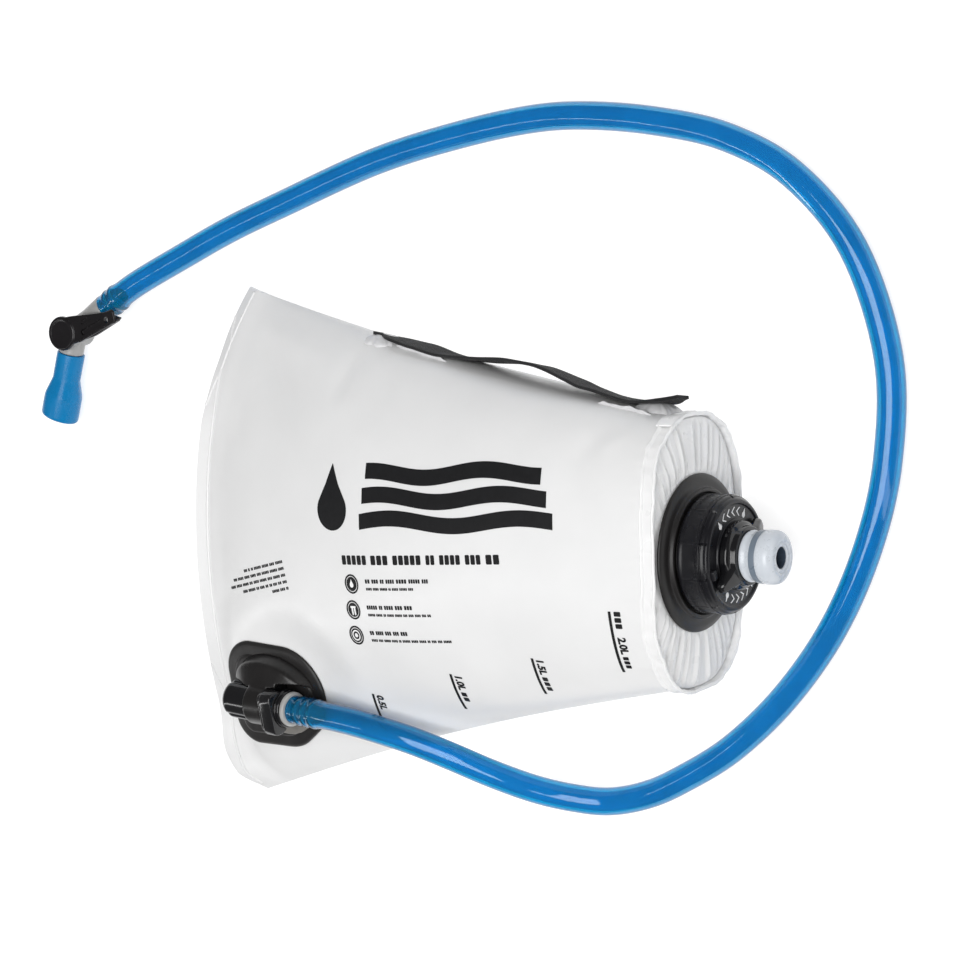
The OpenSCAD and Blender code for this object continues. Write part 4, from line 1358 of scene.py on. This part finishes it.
def make_port_flange():
    """Rounded-triangular flange with a soft rolled edge, welded to the film."""
    low = -PORT_RISE
    levels = [(2.5, low), (0.4, low + 0.1), (0, low + 0.5), (0.1, low + 0.9), (0.6, low + 1.35),
              (1.6, low + 1.65), (3.2, low + 1.8), (5.2, low + 1.9), (5.6, low + 2),
              (6, low + 2.6), (6.8, low + 2.9), (9, low + 3)]
    loops = slab(port_outline(), levels)
    flange = piece("port_flange_pad", *loft(loops), PORT_BLACK, PORT)
    assign(flange, "bag", "port_flange")


def ball(x, y, z, r):
    """Points of a ball, for a hull."""
    points = [(x, y, z + r), (x, y, z - r)]
    for lat in (-60, -30, 0, 30, 60):
        for lon in range(0, 360, 20):
            a, b = math.radians(lat), math.radians(lon)
            points.append((x + r * math.cos(a) * math.cos(b), y + r * math.cos(a) * math.sin(b),
                           z + r * math.sin(a)))
    return points


def disc_points(x, y, z, r):
    return [(x + r * math.cos(a), y + r * math.sin(a), z) for a in np.radians(range(0, 360, 10))]


def rod(x0, x1, r, steps=64):
    """A rod along x, as points and faces."""
    return lathe([(x0, 0), (x0, r), (x1, r), (x1, 0)], steps, closed=False)


def hull_piece(name, points, place):
    """The tight skin round a cloud of points."""
    mesh = bpy.data.meshes.new(name)
    edit = bmesh.new()
    for p in points:
        edit.verts.new(p)
    bmesh.ops.convex_hull(edit, input=edit.verts)
    loose = [v for v in edit.verts if not v.link_faces]
    bmesh.ops.delete(edit, geom=loose, context="VERTS")
    edit.to_mesh(mesh)
    edit.free()
    mesh.transform(place @ Matrix.Scale(MM, 4))
    return add_object(name, mesh)


def mend(target):
    """Welds and closes the fine slits that carving leaves along a cut."""
    edit = bmesh.new()
    edit.from_mesh(target.data)
    bmesh.ops.remove_doubles(edit, verts=edit.verts, dist=4e-6)
    bmesh.ops.dissolve_degenerate(edit, edges=edit.edges, dist=2e-6)
    bmesh.ops.delete(edit, geom=[v for v in edit.verts if not v.link_faces], context="VERTS")
    bmesh.ops.holes_fill(edit, edges=[e for e in edit.edges if e.is_boundary], sides=0)
    bmesh.ops.recalc_face_normals(edit, faces=edit.faces)
    edit.to_mesh(target.data)
    edit.free()


def join(pieces):
    """One object that holds the meshes of several, which overlap."""
    edit = bmesh.new()
    for made in pieces:
        edit.from_mesh(made.data)
    edit.to_mesh(pieces[0].data)
    edit.free()
    for made in pieces[1:]:
        bpy.data.objects.remove(made)
    return pieces[0]


def make_port_body():
    """Housing: a cowl that sweeps round the barrel and runs out into the flange."""
    crest = smooth_route([(-21.5, 3, -6.6), (-20, 8.4, -5.6), (-15.5, 13, -4.8), (-7, 15.4, -4),
                          (2, 15, -3.6), (9.5, 12.4, -3.8), (14.8, 8, -4.8), (17.2, 2, -6.4)], 3)
    parts = []
    for a, b in zip(crest, crest[1:]):
        foot = []
        for x, y, z in (a, b):
            foot += ball(x, y, z, 2.6) + disc_points(x, y, FLANGE_TOP - 0.6, 3.6)
            foot += ball(0.45 * x - 2, 0.4 * y, -1.2, 4.8)
            foot += disc_points(0.55 * x - 2, 0.4 * y, FLANGE_TOP - 0.6, 5)
        parts.append(hull_piece("port_body", foot, PORT))
    slope = ball(-12, 4, -3.5, 5) + ball(2, 4, -3.5, 4.6) + disc_points(-12, 0, FLANGE_TOP - 0.6, 9.5)
    parts.append(hull_piece("slope", slope + disc_points(3, -1, FLANGE_TOP - 0.6, 8.5), PORT))
    barrel = rounded([(-7.8, 0, 0), (-7.8, 9.4, 0.8), (-4, 9.2, 2), (0, 9.0, 2), (6, 8.8, 0.6),
                      (6, 0, 0)], False)
    parts.append(piece("barrel", *lathe(barrel, 72, False), PORT_BLACK, PORT))
    body = melt(join(parts), 0.42, 0.5, 7)
    cutters = [
        piece("cut_button", *rod(-30, -2.4, 8.5), PORT_BLACK, PORT),
        piece("cut_plug", *rod(-1.8, 40, 5.7), PORT_BLACK, PORT),
        piece("cut_passage", *rod(-8, 4, 3.3), PORT_BLACK, PORT),
        piece("cut_front", *rod(6.1, 40, 10.6), PORT_BLACK, PORT),
        plate("cut_slot", box_loop(2.0, -9.1, 6.6, 9.1, 0.3), -8.2, 14, 0.2, PORT_BLACK, PORT),
    ]
    carve(body, cutters)
    mend(body)
    melt(body, 0.36, 0.4, 2)
    repaint(body, PORT_SATIN, 42)
    assign(body, "bag", "port_housing")


def make_port_ramp():
    """Pale lead-in beside the barrel, and the dark guide block that it starts from."""
    loops = []
    for x, edge in ((-5, -17.2), (0, -17.3), (4, -16.9), (8, -15.4), (12, -12.9), (14.4, -10.8),
                    (15.6, -9.4)):
        loop = rounded([(edge, -0.3, 0.1), (-7.8, -0.3, 0.1), (-7.8, 2.6, 0.3),
                        (edge + 0.4, 1.3, 0.3)])
        loops.append([(x, y, FLANGE_TOP + z) for y, z in loop])
    ramp = piece("port_ramp", *loft(loops), RAMP_GREY, PORT)
    assign(ramp, "bag")
    guide = plate("port_guide", box_loop(-11.6, -17.8, -4.6, -7.9, 1.2), FLANGE_TOP - 0.2,
                  FLANGE_TOP + 4.0, 0.7, PORT_SATIN, PORT)
    assign(guide, "bag")


def make_button():
    """Push button: three broad finger panels parted by narrow grooves."""
    def flutes(x, r, angle):
        deep = 0.8 * (0.5 + 0.5 * math.cos(3 * angle - 0.25)) ** 28
        return x, r - deep * ease((r - 4.5) / 1.5) * ease((-8.3 - x) / 0.7)

    profile = [(-22.4, 0, 0), (-22.2, 4.8, 1.2), (-21.4, 7.2, 1.4), (-19.6, 8.3, 1.2),
               *[(-18.5 + k, 8.35, 0) for k in range(12)], (-6, 8.3, 0.3), (-6, 0, 0)]
    lathed("push_button", profile, GLOSS_BLACK, "button", "release_button",
           steps=192, closed=False, shape=flutes, place=PORT)


def make_latch():
    """Latch plate in the barrel's slot, with a hole that the plug passes through."""
    across = PORT @ ACROSS
    latch = plate("latch_slide", box_loop(-8.8, -7.6, 8.8, 9.3, 3.4), 2.3, 4.9, 0.6, GLOSS_BLACK,
                  across)
    carve(latch, [piece("cut_latch", *rod(0, 8, 5.95, 96), GLOSS_BLACK, PORT)])
    hood = plate("latch_hood", box_loop(-9.7, 1.5, 9.7, 10.4, 4.2), 4.4, 10.6, 0.7, GLOSS_BLACK,
                 across)
    carve(hood, [piece("cut_hood", *rod(0, 20, 8.65, 96), GLOSS_BLACK, PORT)])
    finish_mesh(hood.data, 35)
    assign(hood, "latch")
    finish_mesh(latch.data, 35)
    assign(latch, "latch", "latch_plate")


def make_connector():
    """Plug: spigot, stepped glossy collar and the barb inside the hose."""
    barbs = []
    for k in range(3):
        x = PORT_REACH + 3.5 + 4 * k
        barbs += [(x, 4.05, 0), (x, 4.85, 0.15), (x + 2.6, 4.05, 0.1)]
    profile = [(-1.4, 2.8, 0.1), (-1.4, 5.4, 0.5), (-0.6, 5.5, 0.1), (-0.6, 4.35, 0.1),
               (1.0, 4.35, 0.1), (1.0, 5.5, 0.1), (2.1, 5.5, 0.1), (2.1, 4.35, 0.1),
               (5.1, 4.35, 0.1), (5.1, 5.5, 0.1),
               (6.4, 5.5, 0.1), (6.4, 6.9, 0.3), (8, 7.0, 0.2), (8.05, 8.0, 0.5), (9.2, 8.35, 0.3),
               (10.6, 8.35, 0.3), (10.8, 7.9, 0.15), (11.2, 7.9, 0.15), (11.4, 8.2, 0.2),
               (12.4, 7.9, 0.4), (12.4, 4.05, 0.1), *barbs, (PORT_REACH + 15, 3.8, 0.2),
               (PORT_REACH + 15, 2.8, 0.2)]
    lathed("connector_plug", profile, GLOSS_BLACK, "hose", "hose_connector",
           place=PORT, rounding=4)
    ring = [(12.4, 4.05, 0.1), (12.4, 7.25, 0.3), (13.2, 7.4, 0.3), (14.3, 7.3, 0.6),
            (PORT_REACH, 6.4, 0.3), (PORT_REACH, 4.05, 0.1)]
    return lathed("collar_ring", ring, RING_GREY, "hose", "connector_ring",
                  place=PORT)


# ---------------------------------------------------------------- bite valve

HUB_HALF = 6.5
LEVER_LOW = HUB_HALF + 0.4


def upright_rod(z0, z1, r):
    """A rod along z, as points and faces."""
    points, faces = rod(z0, z1, r, 72)
    return [(y, z, x) for x, y, z in points], faces


def make_elbow():
    """Frosted elbow: an upright hub that runs smoothly into the hose arm and the outlet."""
    parts = [
        piece("elbow_body_clear", *upright_rod(-HUB_HALF, HUB_HALF, 6.6), ELBOW_CLEAR, HUB),
        piece("arm", *lathe([(0, 0), (0, 5.6), (11, 5.3), (ELBOW_REACH - 1.4, 6.1),
                             (ELBOW_REACH - 0.1, 6.2), (ELBOW_REACH - 0.1, 0)], 72, False),
              ELBOW_CLEAR, HUB),
        piece("outlet", *lathe([(0, 0), (0, 5.6), (9.9, 5.6), (9.9, 0)], 72, False), ELBOW_CLEAR,
              MOUTH),
    ]
    elbow = melt(join(parts), 0.36, 0.5, 5)
    barbs = [(ELBOW_REACH - 2, 0, 0), (ELBOW_REACH - 2, 4, 0)]
    for k in range(2):
        x = ELBOW_REACH + 2.5 + 4 * k
        barbs += [(x, 4, 0), (x + 0.3, 4.4, 0), (x + 2.6, 4.8, 0), (x + 2.6, 4, 0)]
    barbs += [(ELBOW_REACH + 11, 4, 0.3), (ELBOW_REACH + 11, 0, 0)]
    barb = piece("barb", *lathe(rounded(barbs, False, 3), 72, False), ELBOW_CLEAR, HUB)
    tip = piece("tip", *lathe([(8, 0), (8, 4.35), (19.6, 4.35), (20, 4.1), (20, 0)], 72, False),
                ELBOW_CLEAR, MOUTH)
    carve(elbow, [barb, tip], "UNION")
    carve(elbow, [
        piece("cut_well", *upright_rod(1.4 - HUB_HALF, 20, 5.02), ELBOW_CLEAR, HUB),
        piece("cut_arm", *rod(0, 40, 3), ELBOW_CLEAR, HUB),
        piece("cut_outlet", *rod(0, 40, 3), ELBOW_CLEAR, MOUTH),
    ])
    repaint(elbow, ELBOW_CLEAR, 42)
    return assign(elbow, "hose", "elbow_body")


def make_lever():
    """Shut-off lever: a dished round head and a ribbed arm with an upturned tip."""
    z = LEVER_LOW
    head = piece("lever", *loft([[(r * math.cos(a), r * math.sin(a), h)
                                  for a in np.linspace(0, math.tau, 96, endpoint=False)]
                                 for r, h in ((6.6, z), (7.4, z + 0.2), (7.7, z + 0.7),
                                 (7.7, z + 1.9),
                                              (7.4, z + 2.5), (6.8, z + 2.75), (6.1, z + 2.65),
                                              (5.7, z + 2.45), (3, z + 2.4))]), LEVER_BLACK, HUB)
    arm_loop = rounded([(2, -6.8, 0.5), (9, -8.9, 3), (17, -10.6, 2), (31.4, -11.6, 1),
                        (34, -11, 0.6), (27.4, -4.4, 1), (15.6, 0.9, 3), (8, 4.4, 2), (2, 6.6, 0.5)])
    arm = plate("arm", arm_loop, z + 0.05, z + 2.1, 0.5, LEVER_BLACK, HUB)
    along_edge = HUB @ Matrix.Translation((0.0075, -0.0083, 0)) @ Matrix.Rotation(
        math.radians(-6.5), 4, "Z")
    rib = plate("rib", box_loop(0, -0.5, 25, 0.6, 0.4), z + 0.1, z + 3.0, 0.35, LEVER_BLACK,
                along_edge)
    tip_place = HUB @ Matrix.Rotation(math.radians(-16), 4, "Z") @ Matrix.Translation(
        (0.0275, 0, (z + 0.9) * MM)) @ Matrix.Rotation(math.radians(-14), 4, "Y")
    tip = plate("tip", box_loop(-1.5, -3.0, 6.6, 3.4, 1.4), 0, 1.3, 0.4, LEVER_BLACK, tip_place)
    melt(join([head, arm, rib, tip]), 0.2, 0.5, 3)
    carve(head, [
        piece("cut_hole", *upright_rod(z - 1, z + 6, 1.4), LEVER_BLACK,
              HUB @ Matrix.Translation((0.0265, -0.0078, 0))),
        plate("cut_slot", box_loop(2.5, 1.6, 16.5, 4.2, 1.2), z + 1.0, z + 4, 0.1, LEVER_BLACK,
              along_edge),
        plate("cut_dish", box_loop(4.5, 6.2, 11.5, 8.0, 0.8), z + 1.5, z + 4, 0.1, LEVER_BLACK,
              along_edge),
    ])
    repaint(head, LEVER_BLACK, 38)
    return assign(head, "lever", "shutoff_lever")


def make_mouthpiece():
    """Blue silicone mouthpiece: neck, faceted shoulder, flared barrel and a slit end."""
    start, long = 10.0, 31.0
    end = start + long

    def facets(x, r, angle):
        shoulder = ease((x - start - 11) / 2) * ease((end - 9.5 - x) / 2)
        r = r * (1 - 0.045 * shoulder * (0.5 - 0.5 * math.cos(6 * angle)))
        tilt = 0.9 * math.cos(angle + 0.6) * ease((x - end + 8) / 7)
        return x + tilt * (r / 8.6), r

    profile = [(start, 4.4, 0.1), (start, 6.3, 0.5), (start + 4, 6.3, 0), (start + 11.8, 6.25, 0.8),
               (start + 15, 7.2, 2), (end - 12, 8.4, 0.5), (end - 11, 8.6, 0.5), (end - 6, 8.55, 0),
               (end - 0.9, 8.5, 0.8), (end, 7.7, 0.6), (end + 0.4, 4, 1), (end + 0.4, 0, 0)]
    inner = [(end - 1.8, 0, 0), (end - 1.9, 3.4, 0.8), (end - 5, 4.4, 0.8), (start + 0.1, 4.4, 0)]
    wall = rounded(profile, False, 5) + rounded(inner, False, 4)
    mouth = piece("mouthpiece", *lathe(wall, 96, True, facets), BITE_BLUE, MOUTH)
    carve(mouth, [plate("cut_slit", box_loop(-5, -0.22, 5, 0.22, 0.15), end - 1.2, end + 3, 0.05,
                        BITE_BLUE, MOUTH @ ACROSS)])
    finish_mesh(mouth.data, 40)
    return assign(mouth, "hose", "bite_valve")


# ---------------------------------------------------------------- carried-over CAD nodes


def dress_cad_nodes():
    looks = {
        "cap_gasket": SEAL_GREY, "valve_seat": VALVE_GREY, "valve_oring": SEAL_BLACK,
        "button_spring": STEEL, "port_poppet": VALVE_GREY, "poppet_spring": STEEL,
        "poppet_seal": SEAL_BLACK, "connector_oring": SEAL_BLACK, "shutoff_barrel": LEVER_BLACK,
        "barrel_orings": SEAL_BLACK,
    }
    for node, material in looks.items():
        data = frame["nodes"][node].data
        data.materials.clear()
        data.materials.append(material)


# ---------------------------------------------------------------- studio


def make_floor():
    size = 6.0
    mesh = bpy.data.meshes.new("floor")
    corners_of_floor = [(-size, -size, 0), (size, -size, 0), (size, size, 0), (-size, size, 0)]
    mesh.from_pydata(corners_of_floor, [], [(0, 1, 2, 3)])
    ground = Surface("studio_floor", (0.4, 0.4, 0.4), 0.9, Specular_IOR_Level=0.1,
                     Emission_Color=(1, 1, 1, 1), Emission_Strength=0.8)
    ground.mottle(300, 0.004)
    mesh.materials.append(ground.material)
    floor = add_object("floor", mesh)
    floor.location.z = -0.0004


def area_light(name, place, aim, size, watts, height=None):
    data = bpy.data.lights.new(name, "AREA")
    data.energy = watts
    data.shape = "RECTANGLE"
    data.size = size
    data.size_y = height or size
    light = add_object(name, data)
    light.location = place
    light.rotation_euler = (Vector(aim) - Vector(place)).to_track_quat("-Z", "Y").to_euler()


def make_studio():
    scene = bpy.context.scene
    scene.view_settings.view_transform = "Standard"
    world = bpy.data.worlds.new("studio")
    world.use_nodes = True
    world.node_tree.nodes["Background"].inputs["Color"].default_value = (1, 1, 1, 1)
    world.node_tree.nodes["Background"].inputs["Strength"].default_value = 0.17
    scene.world = world
    area_light("top", (0.45, 0.0, 1.75), (0, 0, 0), 1.4, 34)
    area_light("side_strip", (-1.1, -0.5, 0.8), (0, 0, 0.02), 0.06, 2.4, 1.4)
    area_light("cap_strip", (1.3, -0.6, 0.7), (0.1, 0, 0.03), 0.2, 1.8, 1.2)


# ---------------------------------------------------------------- the whole object


make_camera()
hose, hose_path, hose_length = make_hose()
film_panel("bag_front", front_film, FILM, "front_panel")
film_panel("bag_back", back_film, FILM_BACK, "back_panel")
make_seam()
make_rim()
make_rim_lap()
make_end_film()
make_prints()
make_strap()
make_patch("strap_tab_seam_end", "strap_patch_front", -9)
make_patch("strap_tab_cap_end", "strap_patch_rear", -6)
make_strap_hem("strap_hem_seam_end", 0.38, 0.5, 0.7, 1.2, 3)
make_strap_hem("strap_hem_cap_end", 0.84, 0.95, 0.8, 1.1, 8)
make_filler_port()
make_cap()
make_cap_stops()
make_cap_print()
make_rotor()
make_spout()
make_port_flange()
make_port_body()
make_port_ramp()
make_button()
make_latch()
collar = make_connector()
elbow = make_elbow()
lever = make_lever()
mouth = make_mouthpiece()
dress_cad_nodes()
make_floor()
make_studio()
